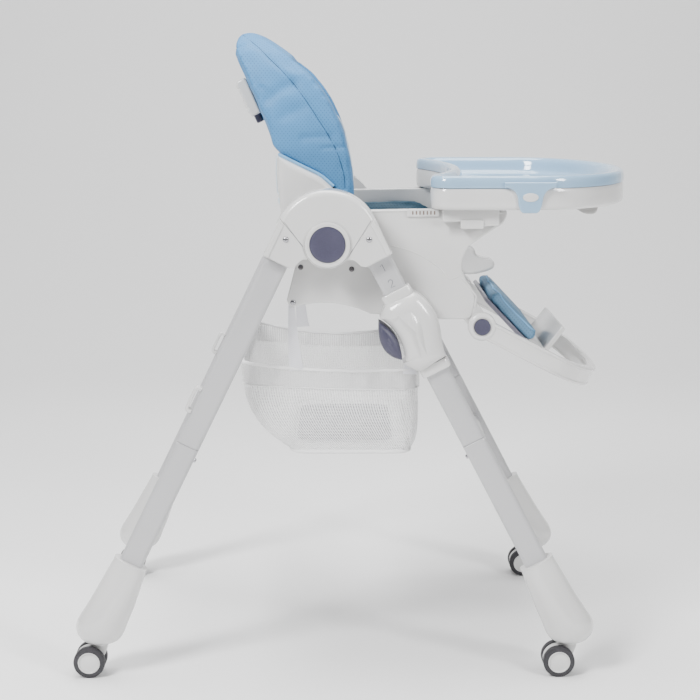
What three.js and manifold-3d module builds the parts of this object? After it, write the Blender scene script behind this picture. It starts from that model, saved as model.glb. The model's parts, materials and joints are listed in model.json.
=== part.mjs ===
// Folding baby high chair: a scissor frame of two leg pairs on a hub, a height-adjustable seat that
// slides on the front legs, a reclining back, a swinging leg rest, a two-layer tray on a slide, a hung
// basket and four twin-wheel casters.
// Millimetres, +X towards the child's front, +Y to the child's left, +Z up. The shapes are worked out
// from the hub axis, and the last lines stand the chair on Z = 0, centred on its own outline.

import * as THREE from 'three';
import { mergeVertices } from 'three/addons/utils/BufferGeometryUtils.js';
import Module from 'manifold-3d';

const wasm = await Module();
wasm.setup();

// ---- Driving dimensions -------------------------------------------------------------------------

const GAP = 0.3;              // between pieces that touch
const RUNNING_GAP = 0.4;      // between a piece and the hole that it moves in

const HUB_HEIGHT = 692;       // hub axis above the floor
const TRACK = 516;            // between the left and right legs, tube centre to tube centre
const REAR_LEG_ANGLE = 26;    // degrees from upright
const FRONT_LEG_ANGLE = 27.5; // degrees from upright
const LEG_OFFSET = 58;        // leg centre line from the hub axis

const TUBE_WIDTH = 38;        // leg tube, seen from the side
const TUBE_DEPTH = 22;        // leg tube, across the chair
const TUBE_WALL = 1.6;
const TUBE_JOINT = 380;       // upper tube's lower end, along the leg
const TUBE_SPIGOT = 36;       // lower tube's neck inside the upper tube
const CROSS_TUBE_RADIUS = 11;
const FRONT_CROSS_AT = 470;   // along the front leg
const REAR_CROSS_AT = 440;    // along the rear leg

const HUB_RADIUS = 82;
const HUB_THICKNESS = 49;
const HUB_RING_RADIUS = 35;
const HUB_RING_HEIGHT = 4;
const HUB_SEAM_RADIUS = 37;
const SOCKET_LENGTH = 57;     // hub socket's lower end, along the leg
const SOCKET_WALL = 3;
const HUB_BUTTON_RADIUS = 27.3;
const HUB_BUTTON_TRAVEL = 4;
const HUB_PIN_RADIUS = 8;
const HUB_FLANGE = 8;         // rear socket's hinge plate thickness

const ANKLE_HEIGHT = 92;      // widest part of a foot above the floor
const FOOT_BOTTOM = 53;       // lowest part of a foot above the floor
const FOOT_TOP = 186;
const FOOT_RADIUS = 41;
const FOOT_FLATTENING = 0.8;  // depth across the chair over the width
const FOOT_SOCKET_DEPTH = 34;
const STEM_RADIUS = 5;
const STEM_LENGTH = 30;
const STEM_OFFSET = 6;        // caster stem outward of the ankle

const WHEEL_RADIUS = 25;
const RIM_RADIUS = 17.3;
const WHEEL_PAIR_WIDTH = 42;
const WHEEL_GAP = 13;         // between the two wheels of a caster
const AXLE_RADIUS = 3.6;
const CASTER_TRAIL = 17;
const HOOD_RADIUS = 24;

const LEG_STANDOFF = 30;      // leg tube centre outward of the side panels
const SEAT_WIDTH = TRACK - 2 * LEG_STANDOFF; // over the side panels
const PANEL_THICKNESS = 16;
const PAN_THICKNESS = 14;
const CUSHION_GAP = 0.5;      // between a cushion and what holds it
const LEGREST_PIVOT = new THREE.Vector2(240, -133);
const LEGREST_ANGLE = 27.5;   // degrees below level
const LEGREST_REACH = 225;
const LEGREST_HUB_RADIUS = 22;
const LEGREST_BUTTON_RADIUS = 12.7;
const LEGREST_BUTTON_TRAVEL = 3;
const HOOP_BAND = 14;
const HOOP_HEIGHT = 30;

const RECLINE_PIVOT = new THREE.Vector2(-8, -40);
const BACK_CLEARANCE = 22;    // between the back shell and each side panel
const COVER_INSET = 22;       // of the back cover from each end of the shell
const BACK_SHELL_WIDTH = SEAT_WIDTH - 2 * (PANEL_THICKNESS + BACK_CLEARANCE);
const BACK_WIDTH = BACK_SHELL_WIDTH - 2 * COVER_INSET;
const RECLINE_PIN_RADIUS = 7.6;

const SLIDER_TOP = 112;       // along the front leg
const SLIDER_BOTTOM = 254;
const SLIDER_COLLAR = 12;
const SLIDER_THICKNESS = 62;
const SLIDER_BUTTON_TRAVEL = 4;

const TRAY_BOTTOM = 50;       // above the hub axis
const TRAY_BASE_HEIGHT = 33;
const TRAY_RIM_HEIGHT = 19;
const TRAY_OVERHANG = 37;     // beyond each side panel
const TRAY_WIDTH = SEAT_WIDTH + 2 * TRAY_OVERHANG;
const TRAY_BACK = 158;
const TRAY_FRONT = 488;
const TRAY_WALL = 14;
const TRAY_FLOOR = 5;

const BASKET_WALL = 5;
const BASKET_CLEARANCE = 10;  // inward of each side panel's outer face
const BASKET_WIDTH = SEAT_WIDTH - 2 * BASKET_CLEARANCE;

// ---- Materials ----------------------------------------------------------------------------------

function material(color, roughness, metalness = 0) {
  return new THREE.MeshStandardMaterial({ color, roughness, metalness });
}

const whitePlastic = material(0xe4e4e2, 0.28);
const whitePaint = material(0xdcdcda, 0.35);
const greyPlastic = material(0x69687a, 0.45);
const trayBlue = material(0xb5c4d1, 0.18);
const leatherette = material(0x78a0c0, 0.6);
const blackRubber = material(0x1d1c1f, 0.75);
const meshFabric = material(0xd6d6d6, 0.85);

// ---- Solids -------------------------------------------------------------------------------------

// Shared corners are merged, and faces that this shrinks to a line are left out.
function toSolid(geometry) {
  const bare = geometry.clone();
  bare.deleteAttribute('normal');
  bare.deleteAttribute('uv');
  const merged = mergeVertices(bare, 1e-3);
  const corners = merged.index.array;
  const faces = [];
  for (let i = 0; i < corners.length; i += 3) {
    const [a, b, c] = corners.slice(i, i + 3);
    if (a !== b && b !== c && c !== a) faces.push(a, b, c);
  }
  const vertProperties = new Float32Array(merged.attributes.position.array);
  return new wasm.Manifold(new wasm.Mesh({ numProp: 3, vertProperties, triVerts: new Uint32Array(faces) }));
}

function toGeometry(solid) {
  const mesh = solid.getMesh();
  const geometry = new THREE.BufferGeometry();
  geometry.setAttribute('position', new THREE.BufferAttribute(new Float32Array(mesh.vertProperties), 3));
  geometry.setIndex(new THREE.BufferAttribute(new Uint32Array(mesh.triVerts), 1));
  geometry.computeVertexNormals();
  return geometry;
}

function join(first, ...others) {
  return toGeometry(others.reduce((solid, other) => solid.add(toSolid(other)), toSolid(first)));
}

function cut(first, ...tools) {
  return toGeometry(tools.reduce((solid, tool) => solid.subtract(toSolid(tool)), toSolid(first)));
}

function common(first, second) {
  return toGeometry(toSolid(first).intersect(toSolid(second)));
}

// Outline in X and Z carried across the chair from y = low to y = high, with both edges chamfered.
function slab(shape, low, high, chamfer = 0, curveSegments = 4) {
  const geometry = new THREE.ExtrudeGeometry(shape, {
    depth: high - low - 2 * chamfer,
    bevelEnabled: chamfer > 0,
    bevelThickness: chamfer,
    bevelSize: chamfer,
    bevelOffset: -chamfer,
    bevelSegments: 1,
    curveSegments,
  });
  geometry.rotateX(Math.PI / 2);
  geometry.translate(0, high - chamfer, 0);
  return geometry;
}

// Outline in X and Y carried upwards from z = low to z = high.
function plate(shape, low, high, chamfer = 0, curveSegments = 8) {
  const geometry = new THREE.ExtrudeGeometry(shape, {
    depth: high - low - 2 * chamfer,
    bevelEnabled: chamfer > 0,
    bevelThickness: chamfer,
    bevelSize: chamfer,
    bevelOffset: -chamfer,
    bevelSegments: 1,
    curveSegments,
  });
  geometry.translate(0, 0, low + chamfer);
  return geometry;
}

function box(lowX, highX, lowY, highY, lowZ, highZ) {
  const geometry = new THREE.BoxGeometry(highX - lowX, highY - lowY, highZ - lowZ);
  geometry.translate((lowX + highX) / 2, (lowY + highY) / 2, (lowZ + highZ) / 2);
  return geometry;
}

// Round bar lying across the chair, centred on (x, z).
function crossBar(radius, low, high, x = 0, z = 0, sides = 20) {
  const geometry = new THREE.CylinderGeometry(radius, radius, high - low, sides);
  geometry.translate(x, (low + high) / 2, z);
  return geometry;
}

// Outline from straight runs: [x, z] points in order.
function polygon(points) {
  return new THREE.Shape(points.map(([x, z]) => new THREE.Vector2(x, z)));
}

// Rectangle with round corners, centred on the origin.
function roundedRectangle(width, depth, radius) {
  const x = width / 2 - radius;
  const y = depth / 2 - radius;
  const shape = new THREE.Shape();
  shape.absarc(x, y, radius, 0, Math.PI / 2);
  shape.absarc(-x, y, radius, Math.PI / 2, Math.PI);
  shape.absarc(-x, -y, radius, Math.PI, 1.5 * Math.PI);
  shape.absarc(x, -y, radius, 1.5 * Math.PI, 2 * Math.PI);
  return shape;
}

function mirrored(geometry) {
  const copy = geometry.clone();
  copy.scale(1, -1, 1);
  const index = copy.index ? Array.from(copy.index.array) : Array.from(copy.attributes.position.array.keys());
  const corners = copy.index ? index : index.slice(0, copy.attributes.position.count);
  for (let i = 0; i < corners.length; i += 3) {
    [corners[i + 1], corners[i + 2]] = [corners[i + 2], corners[i + 1]];
  }
  copy.setIndex(corners);
  copy.computeVertexNormals();
  return copy;
}

function addPiece(group, name, geometry, pieceMaterial) {
  const piece = new THREE.Mesh(geometry, pieceMaterial);
  piece.name = name;
  group.add(piece);
  return piece;
}

// A left piece and its mirror image on the right.
function addPair(group, name, geometry, pieceMaterial) {
  addPiece(group, `${name}_l`, geometry, pieceMaterial);
  addPiece(group, `${name}_r`, mirrored(geometry), pieceMaterial);
}

// ---- Leg lines ----------------------------------------------------------------------------------

// A leg group's local -Z runs down the leg. Its origin is the point of the leg line nearest the hub.
function legGroup(direction, angle) {
  const lean = THREE.MathUtils.degToRad(angle);
  const group = new THREE.Group();
  group.position.set(direction * LEG_OFFSET * Math.cos(lean), 0, LEG_OFFSET * Math.sin(lean));
  group.rotation.y = -direction * lean;
  group.updateMatrix();
  return group;
}

const frontLegs = legGroup(1, FRONT_LEG_ANGLE);
const rearLegs = legGroup(-1, REAR_LEG_ANGLE);
const legY = TRACK / 2;

// Distance down the leg line to a height above the floor.
function alongLegTo(group, height) {
  return (HUB_HEIGHT + group.position.z - height) / Math.cos(group.rotation.y);
}

// Where the leg line meets a height above the floor.
function legXAt(group, height) {
  return group.position.x - alongLegTo(group, height) * Math.sin(group.rotation.y);
}

// A stretch of tube outline along a leg, grown by a clearance, from one distance down it to another.
function legBar(from, to, grow = 0, y = legY) {
  const outline = roundedRectangle(TUBE_WIDTH + 2 * grow, TUBE_DEPTH + 2 * grow, 8 + grow);
  const geometry = plate(outline, -to, -from, 0, 3);
  geometry.translate(0, y, 0);
  return geometry;
}

// ---- Leg tubes ----------------------------------------------------------------------------------

const TUBE_TOP = 24;          // upper tube's top end, along the leg, inside the hub socket

function legTubes(group, prefix, footTop) {
  const bottom = footTop + FOOT_SOCKET_DEPTH;
  const hollow = -TUBE_WALL;
  const upper = cut(legBar(TUBE_TOP, TUBE_JOINT), legBar(TUBE_TOP - 1, TUBE_JOINT + 1, hollow));
  const neckWall = -TUBE_WALL - RUNNING_GAP;
  const lowerOuter = join(
    legBar(TUBE_JOINT + GAP, bottom),
    legBar(TUBE_JOINT - TUBE_SPIGOT, TUBE_JOINT + GAP + 1, neckWall),
  );
  const lower = cut(lowerOuter, legBar(TUBE_JOINT - TUBE_SPIGOT - 1, bottom + 1, neckWall - TUBE_WALL));
  addPair(group, `${prefix}_leg_upper`, upper, whitePaint);
  addPair(group, `${prefix}_leg_lower`, lower, whitePaint);
}

function crossTube(group, name, along) {
  const end = legY - TUBE_DEPTH / 2 - GAP;
  const outer = crossBar(CROSS_TUBE_RADIUS, -end, end, 0, -along, 16);
  const inner = crossBar(CROSS_TUBE_RADIUS - TUBE_WALL, -end - 1, end + 1, 0, -along, 16);
  addPiece(group, name, cut(outer, inner), whitePaint);
}

// ---- Feet and casters ---------------------------------------------------------------------------

// A drop turned on an upright axis, flattened across the chair, then leant over so that its neck
// follows the leg and its bottom stands upright over the caster stem.
function foot(group, direction) {
  const neck = TUBE_WIDTH / 2 + 6;
  const profile = [
    [0, FOOT_BOTTOM], [0.5 * FOOT_RADIUS, FOOT_BOTTOM + 1], [0.78 * FOOT_RADIUS, FOOT_BOTTOM + 9],
    [0.95 * FOOT_RADIUS, FOOT_BOTTOM + 22], [FOOT_RADIUS, ANKLE_HEIGHT],
    [0.95 * FOOT_RADIUS, ANKLE_HEIGHT + 21], [0.82 * FOOT_RADIUS, ANKLE_HEIGHT + 50],
    [0.7 * FOOT_RADIUS, ANKLE_HEIGHT + 74], [neck, FOOT_TOP], [0, FOOT_TOP],
  ];
  const body = new THREE.LatheGeometry(profile.map(([r, z]) => new THREE.Vector2(r, z)), 20);
  body.rotateX(Math.PI / 2);
  body.scale(1, FOOT_FLATTENING, 1);
  const slope = direction * Math.tan(Math.abs(group.rotation.y));
  const stemX = legXAt(group, ANKLE_HEIGHT) + direction * STEM_OFFSET;
  const position = body.attributes.position;
  for (let i = 0; i < position.count; i += 1) {
    const height = position.getZ(i);
    const legX = legXAt(group, height);
    const settle = THREE.MathUtils.smoothstep(height, FOOT_BOTTOM, ANKLE_HEIGHT + 20);
    const uprightX = stemX - slope * (height - FOOT_BOTTOM) * 0.2;
    position.setX(i, position.getX(i) + THREE.MathUtils.lerp(uprightX, legX, settle));
  }
  body.translate(0, legY, -HUB_HEIGHT);
  const socket = legBar(alongLegTo(group, FOOT_TOP) - 30, alongLegTo(group, FOOT_TOP)
    + FOOT_SOCKET_DEPTH + GAP, RUNNING_GAP);
  socket.applyMatrix4(group.matrix);
  const stemHole = new THREE.CylinderGeometry(STEM_RADIUS + RUNNING_GAP, STEM_RADIUS + RUNNING_GAP, 60, 16);
  stemHole.rotateX(Math.PI / 2);
  stemHole.translate(stemX, legY, FOOT_BOTTOM + STEM_LENGTH + 1 - 30 - HUB_HEIGHT);
  return { geometry: cut(body, socket, stemHole), stemX };
}

// Twin-wheel caster around its swivel stem, in a frame at the stem on the floor.
function caster(group, name, stemX, side) {
  const place = new THREE.Group();
  place.position.set(stemX, side * legY, -HUB_HEIGHT);
  group.add(place);

  const hoodHalf = WHEEL_GAP / 2 - GAP - 0.3;
  const hoodTop = FOOT_BOTTOM - 1;
  const outline = new THREE.Shape();
  outline.moveTo(12, hoodTop);
  outline.lineTo(-14, hoodTop);
  outline.absarc(-CASTER_TRAIL, WHEEL_RADIUS, HOOD_RADIUS, 0.55 * Math.PI, 1.35 * Math.PI);
  outline.lineTo(-CASTER_TRAIL + 8, WHEEL_RADIUS - 8);
  outline.quadraticCurveTo(8, WHEEL_RADIUS + 4, 12, hoodTop);
  const stem = new THREE.CylinderGeometry(STEM_RADIUS, STEM_RADIUS, STEM_LENGTH + 6, 16);
  stem.rotateX(Math.PI / 2);
  stem.translate(0, 0, hoodTop + (STEM_LENGTH - 6) / 2);
  const axleHole = crossBar(AXLE_RADIUS + RUNNING_GAP, -10, 10, -CASTER_TRAIL, WHEEL_RADIUS, 16);
  const hood = cut(join(slab(outline, -hoodHalf, hoodHalf, 1), stem), axleHole);
  addPiece(place, `caster_hood_${name}`, hood, whitePlastic);

  const axleGroup = new THREE.Group();
  axleGroup.position.set(-CASTER_TRAIL, 0, WHEEL_RADIUS);
  place.add(axleGroup);
  const outer = WHEEL_PAIR_WIDTH / 2;
  const inner = WHEEL_GAP / 2;
  const wheelProfile = [
    [0, -outer], [RIM_RADIUS - 2, -outer], [RIM_RADIUS, -outer + 1.5], [RIM_RADIUS, -inner],
    [AXLE_RADIUS, -inner], [AXLE_RADIUS, inner], [RIM_RADIUS, inner], [RIM_RADIUS, outer - 1.5],
    [RIM_RADIUS - 2, outer], [0, outer],
  ];
  const wheels = new THREE.LatheGeometry(wheelProfile.map(([r, y]) => new THREE.Vector2(r, y)), 20);
  addPiece(axleGroup, `caster_wheels_${name}`, wheels, whitePlastic);
  const tyreInner = RIM_RADIUS + GAP;
  for (const [half, sign] of [['outer', side], ['inner', -side]]) {
    const near = inner + 0.5;
    const far = outer - 1;
    const tyreProfile = [
      [tyreInner, near], [WHEEL_RADIUS - 1.5, near], [WHEEL_RADIUS, near + 2],
      [WHEEL_RADIUS, far - 2], [WHEEL_RADIUS - 1.5, far], [tyreInner, far], [tyreInner, near],
    ];
    const tyre = new THREE.LatheGeometry(tyreProfile.map(([r, y]) => new THREE.Vector2(r, y)), 20);
    addPiece(axleGroup, `tyre_${name}_${half}`, sign > 0 ? tyre : mirrored(tyre), blackRubber);
  }
}

function feetAndCasters(frame, group, prefix, direction) {
  const { geometry, stemX } = foot(group, direction);
  addPair(frame, `foot_${prefix}`, geometry, whitePlastic);
  caster(frame, `${prefix}_l`, stemX, 1);
  caster(frame, `${prefix}_r`, stemX, -1);
}

// ---- Hub ----------------------------------------------------------------------------------------

const hubInner = legY - 23;                 // inner face of the hub, from the mid-plane
const hubOuter = hubInner + HUB_THICKNESS;

// The lower outside corners of a socket in hub coordinates; direction is +1 front, -1 rear.
function socketCorner(group, side) {
  const half = (TUBE_WIDTH / 2 + SOCKET_WALL) * side;
  return new THREE.Vector3(half, 0, -SOCKET_LENGTH).applyMatrix4(group.matrix);
}

function frontSocketOutline() {
  const seam = THREE.MathUtils.degToRad(-36);
  const lean = THREE.MathUtils.degToRad(FRONT_LEG_ANGLE);
  const outer = socketCorner(frontLegs, 1);
  const inner = socketCorner(frontLegs, -1);
  const ring = HUB_RING_RADIUS + GAP;
  const tangent = new THREE.Vector2(ring * Math.cos(seam), ring * Math.sin(seam));
  const shape = new THREE.Shape();
  shape.moveTo(outer.x, outer.z);
  shape.absarc(0, 0, HUB_RADIUS, lean, THREE.MathUtils.degToRad(29));
  shape.lineTo(tangent.x + 1, tangent.y);
  shape.absarc(0, 0, ring, seam, THREE.MathUtils.degToRad(-46), true);
  shape.quadraticCurveTo(39, -18, inner.x - 8, inner.z + 1);
  shape.lineTo(inner.x, inner.z);
  shape.closePath();
  return shape;
}

function rearSocketOutline() {
  const lean = Math.PI - THREE.MathUtils.degToRad(REAR_LEG_ANGLE);
  const outer = socketCorner(rearLegs, -1);
  const inner = socketCorner(rearLegs, 1);
  const shape = new THREE.Shape();
  shape.moveTo(inner.x, inner.z);
  shape.lineTo(inner.x + 8, inner.z + 1);
  shape.quadraticCurveTo(-39, -18, ...arcPoint(HUB_SEAM_RADIUS, 220));
  shape.absarc(0, 0, HUB_SEAM_RADIUS, THREE.MathUtils.degToRad(220), THREE.MathUtils.degToRad(184), true);
  shape.absarc(0, 0, HUB_RADIUS, THREE.MathUtils.degToRad(151.5), lean);
  shape.lineTo(outer.x, outer.z);
  shape.closePath();
  return shape;
}

function arcPoint(radius, degrees) {
  const angle = THREE.MathUtils.degToRad(degrees);
  return [radius * Math.cos(angle), radius * Math.sin(angle)];
}

function domeOutline() {
  const seam = THREE.MathUtils.degToRad(-36);
  const shape = new THREE.Shape();
  shape.moveTo(...arcPoint(HUB_RADIUS, 29.4));
  shape.absarc(0, 0, HUB_RADIUS, THREE.MathUtils.degToRad(29.4), THREE.MathUtils.degToRad(151));
  shape.lineTo(...arcPoint(HUB_SEAM_RADIUS - GAP, 183));
  shape.absarc(0, 0, HUB_SEAM_RADIUS - GAP, THREE.MathUtils.degToRad(184), THREE.MathUtils.degToRad(220));
  shape.absarc(0, 0, HUB_RING_RADIUS, THREE.MathUtils.degToRad(221), seam + 2 * Math.PI);
  shape.closePath();
  return shape;
}

function hub() {
  const frontBore = legBar(TUBE_TOP - 1, SOCKET_LENGTH + 4, RUNNING_GAP);
  frontBore.applyMatrix4(frontLegs.matrix);
  const rearBore = legBar(TUBE_TOP - 1, SOCKET_LENGTH + 4, RUNNING_GAP);
  rearBore.applyMatrix4(rearLegs.matrix);

  const flangeTop = hubInner + HUB_FLANGE;
  const flangeRoom = crossBar(HUB_SEAM_RADIUS + 1.2, hubInner - 1, flangeTop + RUNNING_GAP, 0, 0, 36);
  const frontSocket = cut(slab(frontSocketOutline(), hubInner, hubOuter), frontBore, flangeRoom);
  const rearSocket = cut(
    join(
      cut(slab(rearSocketOutline(), hubInner, hubOuter), rearBore),
      crossBar(HUB_SEAM_RADIUS + 0.4, hubInner, flangeTop, 0, 0, 36),
    ),
    crossBar(HUB_PIN_RADIUS + RUNNING_GAP, hubInner - 1, flangeTop + 1),
  );

  const ring = crossBar(HUB_RING_RADIUS, hubOuter - 2, hubOuter + HUB_RING_HEIGHT, 0, 0, 36);
  const pocketFloor = hubOuter + HUB_RING_HEIGHT - 18;
  const domeBody = cut(
    join(slab(domeOutline(), hubInner, hubOuter, 0, 8), ring),
    crossBar(HUB_BUTTON_RADIUS + RUNNING_GAP, pocketFloor, hubOuter + 20, 0, 0, 28),
    flangeRoom,
  );
  const dome = join(domeBody, crossBar(HUB_PIN_RADIUS, hubInner, flangeTop + 2));

  const button = crossBar(HUB_BUTTON_RADIUS, pocketFloor + HUB_BUTTON_TRAVEL + GAP,
    hubOuter + HUB_RING_HEIGHT - 0.5, 0, 0, 28);
  return { frontSocket, rearSocket, dome, button };
}

// ---- Height slider ------------------------------------------------------------------------------

const sliderInner = SEAT_WIDTH / 2 + GAP;
const sliderOuter = sliderInner + SLIDER_THICKNESS;

// Egg around the leg tube between two collars; across the leg it reaches further on the button side.
function sliderEgg() {
  const top = -SLIDER_TOP - SLIDER_COLLAR;
  const bottom = -SLIDER_BOTTOM + SLIDER_COLLAR;
  const shape = new THREE.Shape();
  shape.moveTo(22, top);
  shape.lineTo(-22, top);
  shape.bezierCurveTo(-46, top - 14, -62, top - 50, -42, top - 88);
  shape.quadraticCurveTo(-34, bottom + 10, -22, bottom);
  shape.lineTo(24, bottom);
  shape.bezierCurveTo(24, bottom + 30, 42, top - 70, 39, top - 40);
  shape.quadraticCurveTo(36, top - 12, 22, top);
  return shape;
}

const LENS_TOP = -SLIDER_TOP - SLIDER_COLLAR - 19;
const LENS_BOTTOM = LENS_TOP - 69;
const LENS_WAIST = LENS_TOP - 30;

// The lens-shaped press face on the inner edge of the egg.
function sliderLens() {
  const shape = new THREE.Shape();
  shape.moveTo(-44, LENS_TOP);
  shape.quadraticCurveTo(-22, LENS_WAIST, -39, LENS_BOTTOM);
  shape.quadraticCurveTo(-72, LENS_TOP - 44, -44, LENS_TOP);
  return shape;
}

// Everything on the button's side of the lens's inner curve, with room for the press.
function sliderBite() {
  const room = SLIDER_BUTTON_TRAVEL + RUNNING_GAP;
  const shape = new THREE.Shape();
  shape.moveTo(-44 + room, LENS_TOP + room);
  shape.quadraticCurveTo(-22 + room, LENS_WAIST, -39 + room, LENS_BOTTOM - room);
  shape.lineTo(-90, LENS_BOTTOM - room);
  shape.lineTo(-90, LENS_TOP + room);
  shape.closePath();
  return shape;
}

function slider() {
  const collarWidth = TUBE_WIDTH + 10;
  const collarInner = legY - TUBE_DEPTH / 2 - 5;
  const collarOuter = legY + TUBE_DEPTH / 2 + 5;
  const egg = slab(sliderEgg(), sliderInner, sliderOuter, 5, 5);
  const half = collarWidth / 2;
  const collars = box(-half, half, collarInner, collarOuter, -SLIDER_BOTTOM, -SLIDER_TOP);
  const bite = slab(sliderBite(), sliderInner + 6, sliderOuter - 6);
  const bore = legBar(SLIDER_TOP - 5, SLIDER_BOTTOM + 5, RUNNING_GAP);
  const housing = cut(join(egg, collars), bite, bore);
  const button = slab(sliderLens(), sliderInner + 7, sliderOuter - 7, 1);
  return { housing, button };
}

// ---- Seat ---------------------------------------------------------------------------------------

const panelOuter = SEAT_WIDTH / 2;
const panelInner = panelOuter - PANEL_THICKNESS;
const seatInside = panelInner - GAP;

function panelOutline() {
  const shape = new THREE.Shape();
  shape.moveTo(-64, -92);
  shape.quadraticCurveTo(-62, -102, -54, -104);
  shape.quadraticCurveTo(8, -86, 66, -114);
  shape.lineTo(171, -123);
  shape.lineTo(224, -123);
  shape.lineTo(231, -88);
  shape.lineTo(210, -52);
  shape.quadraticCurveTo(202, -28, 218, -9);
  shape.lineTo(262, 21);
  shape.quadraticCurveTo(276, 27, 277, 46);
  shape.lineTo(156, 49);
  shape.lineTo(-26, 46);
  shape.quadraticCurveTo(-40, 44, -42, 30);
  shape.lineTo(-50, -38);
  shape.closePath();
  return shape;
}

function sidePanel() {
  const body = slab(panelOutline(), panelInner, panelOuter, 2, 5);
  const lug = crossBar(LEGREST_HUB_RADIUS - 3, panelInner, panelOuter, LEGREST_PIVOT.x, LEGREST_PIVOT.y, 24);
  const web = slab(polygon([
    [LEGREST_PIVOT.x - 26, -123], [LEGREST_PIVOT.x - 26, -100], [LEGREST_PIVOT.x - 6, -100],
    [LEGREST_PIVOT.x + 8, LEGREST_PIVOT.y + 12], [LEGREST_PIVOT.x - 8, LEGREST_PIVOT.y - 14],
  ]), panelInner + 1, panelOuter - 1);
  const pinHole = crossBar(RECLINE_PIN_RADIUS + RUNNING_GAP, panelInner - 1, panelInner + 9,
    RECLINE_PIVOT.x, RECLINE_PIVOT.y, 16);
  return cut(join(body, lug, web), pinHole);
}

const panRearTop = -82;
const panFrontTop = -66;
const panRear = -48;
const panFront = 222;

function panTopAt(x) {
  return THREE.MathUtils.mapLinear(x, panRear, panFront, panRearTop, panFrontTop);
}

function seatPan() {
  const outline = polygon([
    [panRear, panTopAt(panRear) - PAN_THICKNESS], [panFront - 14, panTopAt(panFront) - PAN_THICKNESS],
    [panFront, panTopAt(panFront) - PAN_THICKNESS + 10], [panFront, panTopAt(panFront)],
    [panRear, panTopAt(panRear)],
  ]);
  return slab(outline, -seatInside, seatInside, 1);
}

const CUSHION_REAR = 26;
const CUSHION_FRONT = 203;
const CUSHION_TOP = -43;
const BOLSTER_TOP = 33;
const BOLSTER_THICKNESS = 14;

function seatCushion() {
  const half = seatInside - CUSHION_GAP;
  const pad = slab(polygon([
    [CUSHION_REAR, panTopAt(CUSHION_REAR) + CUSHION_GAP],
    [CUSHION_FRONT, panTopAt(CUSHION_FRONT) + CUSHION_GAP],
    [CUSHION_FRONT, CUSHION_TOP - 4], [CUSHION_FRONT - 16, CUSHION_TOP], [CUSHION_REAR, CUSHION_TOP],
  ]), -half, half, 2);
  const wall = slab(polygon([
    [CUSHION_REAR + 4, panTopAt(CUSHION_REAR) + 10], [CUSHION_FRONT - 2, CUSHION_TOP - 12],
    [CUSHION_FRONT - 12, 12], [CUSHION_FRONT - 40, BOLSTER_TOP - 4], [120, BOLSTER_TOP],
    [CUSHION_REAR + 30, BOLSTER_TOP - 2], [CUSHION_REAR + 4, BOLSTER_TOP - 20],
  ]), half - BOLSTER_THICKNESS, half, 1);
  return join(pad, wall, mirrored(wall));
}

function crotchPost() {
  const half = 24;
  const shape = new THREE.Shape();
  shape.moveTo(207, panTopAt(207) + GAP + 0.2);
  shape.lineTo(panFront + GAP, panFrontTop + GAP + 0.2);
  shape.lineTo(panFront + GAP, -76);
  shape.lineTo(258, -74);
  shape.quadraticCurveTo(279, -70, 278, -56);
  shape.quadraticCurveTo(262, -46, 250, -50);
  shape.quadraticCurveTo(246, -34, 234, -32);
  shape.lineTo(216, -32);
  shape.quadraticCurveTo(207, -34, 207, -44);
  shape.closePath();
  return slab(shape, -half, half, 4, 4);
}

// ---- Backrest -----------------------------------------------------------------------------------

const backLean = Math.atan2(58, 160);       // the core plate leans with the back of the cover
const CORE_INSET = 48;        // of the core plate from each side of the cover
const CORE_PLATE = { thickness: 12, width: BACK_WIDTH - 2 * CORE_INSET, length: 172, x: -91, z: 190 };

function corePlate(grow) {
  const geometry = new THREE.BoxGeometry(CORE_PLATE.thickness + 2 * grow, CORE_PLATE.width + 2 * grow,
    CORE_PLATE.length + 2 * grow);
  geometry.rotateY(-backLean);
  geometry.translate(CORE_PLATE.x, 0, CORE_PLATE.z);
  return geometry;
}

function backShell() {
  const half = BACK_SHELL_WIDTH / 2;
  const shape = new THREE.Shape();
  shape.moveTo(-30, -62);
  shape.quadraticCurveTo(-58, -20, -74, 40);
  shape.quadraticCurveTo(-79, 90, -78, 128);
  shape.lineTo(-44, 111);
  shape.lineTo(-11, 95);
  shape.lineTo(12, 74);
  shape.lineTo(11, 10);
  shape.lineTo(16, -52);
  shape.quadraticCurveTo(10, -69, -8, -70);
  shape.quadraticCurveTo(-22, -70, -30, -62);
  const hollowShape = polygon([[-40, -30], [-60, 40], [-65, 106], [-44, 97], [-17, 84], [0, 68], [0, -6],
    [-6, -30]]);
  const body = cut(slab(shape, -half, half, 3, 5), slab(hollowShape, -half + 8, half - 8));
  const mouth = box(-90, -50, -60, 60, 8, 70);
  const pins = crossBar(RECLINE_PIN_RADIUS, -panelInner - 8, panelInner + 8,
    RECLINE_PIVOT.x, RECLINE_PIVOT.y, 16);
  return join(cut(body, mouth), pins, corePlate(0));
}

function coverOutline() {
  const shape = new THREE.Shape();
  shape.moveTo(-84, 140);
  shape.quadraticCurveTo(-76, 133, -70, 127);
  shape.lineTo(-44, 112.5);
  shape.lineTo(-11, 96.5);
  shape.lineTo(13, 75);
  shape.lineTo(13, 8);
  shape.lineTo(17.5, -25);
  shape.lineTo(34, -25);
  shape.quadraticCurveTo(44, 40, 39, 98);
  shape.quadraticCurveTo(30, 190, -28, 256);
  shape.quadraticCurveTo(-60, 288, -104, 313);
  shape.quadraticCurveTo(-128, 330, -147, 316);
  shape.quadraticCurveTo(-154, 298, -146, 284);
  shape.quadraticCurveTo(-120, 232, -98, 180);
  shape.closePath();
  return shape;
}

const HANDLE = { height: 62, depth: 17, width: 92, x: -131, z: 216 };

// A block in the leaning frame of the recline handle: along its depth, width and height.
function handleBlock(depth, width, height, inward = 0, up = 0) {
  const geometry = new THREE.BoxGeometry(depth, width, height);
  geometry.translate(inward, 0, up);
  geometry.rotateY(-handleLean);
  geometry.translate(HANDLE.x, 0, HANDLE.z);
  return geometry;
}

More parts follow.
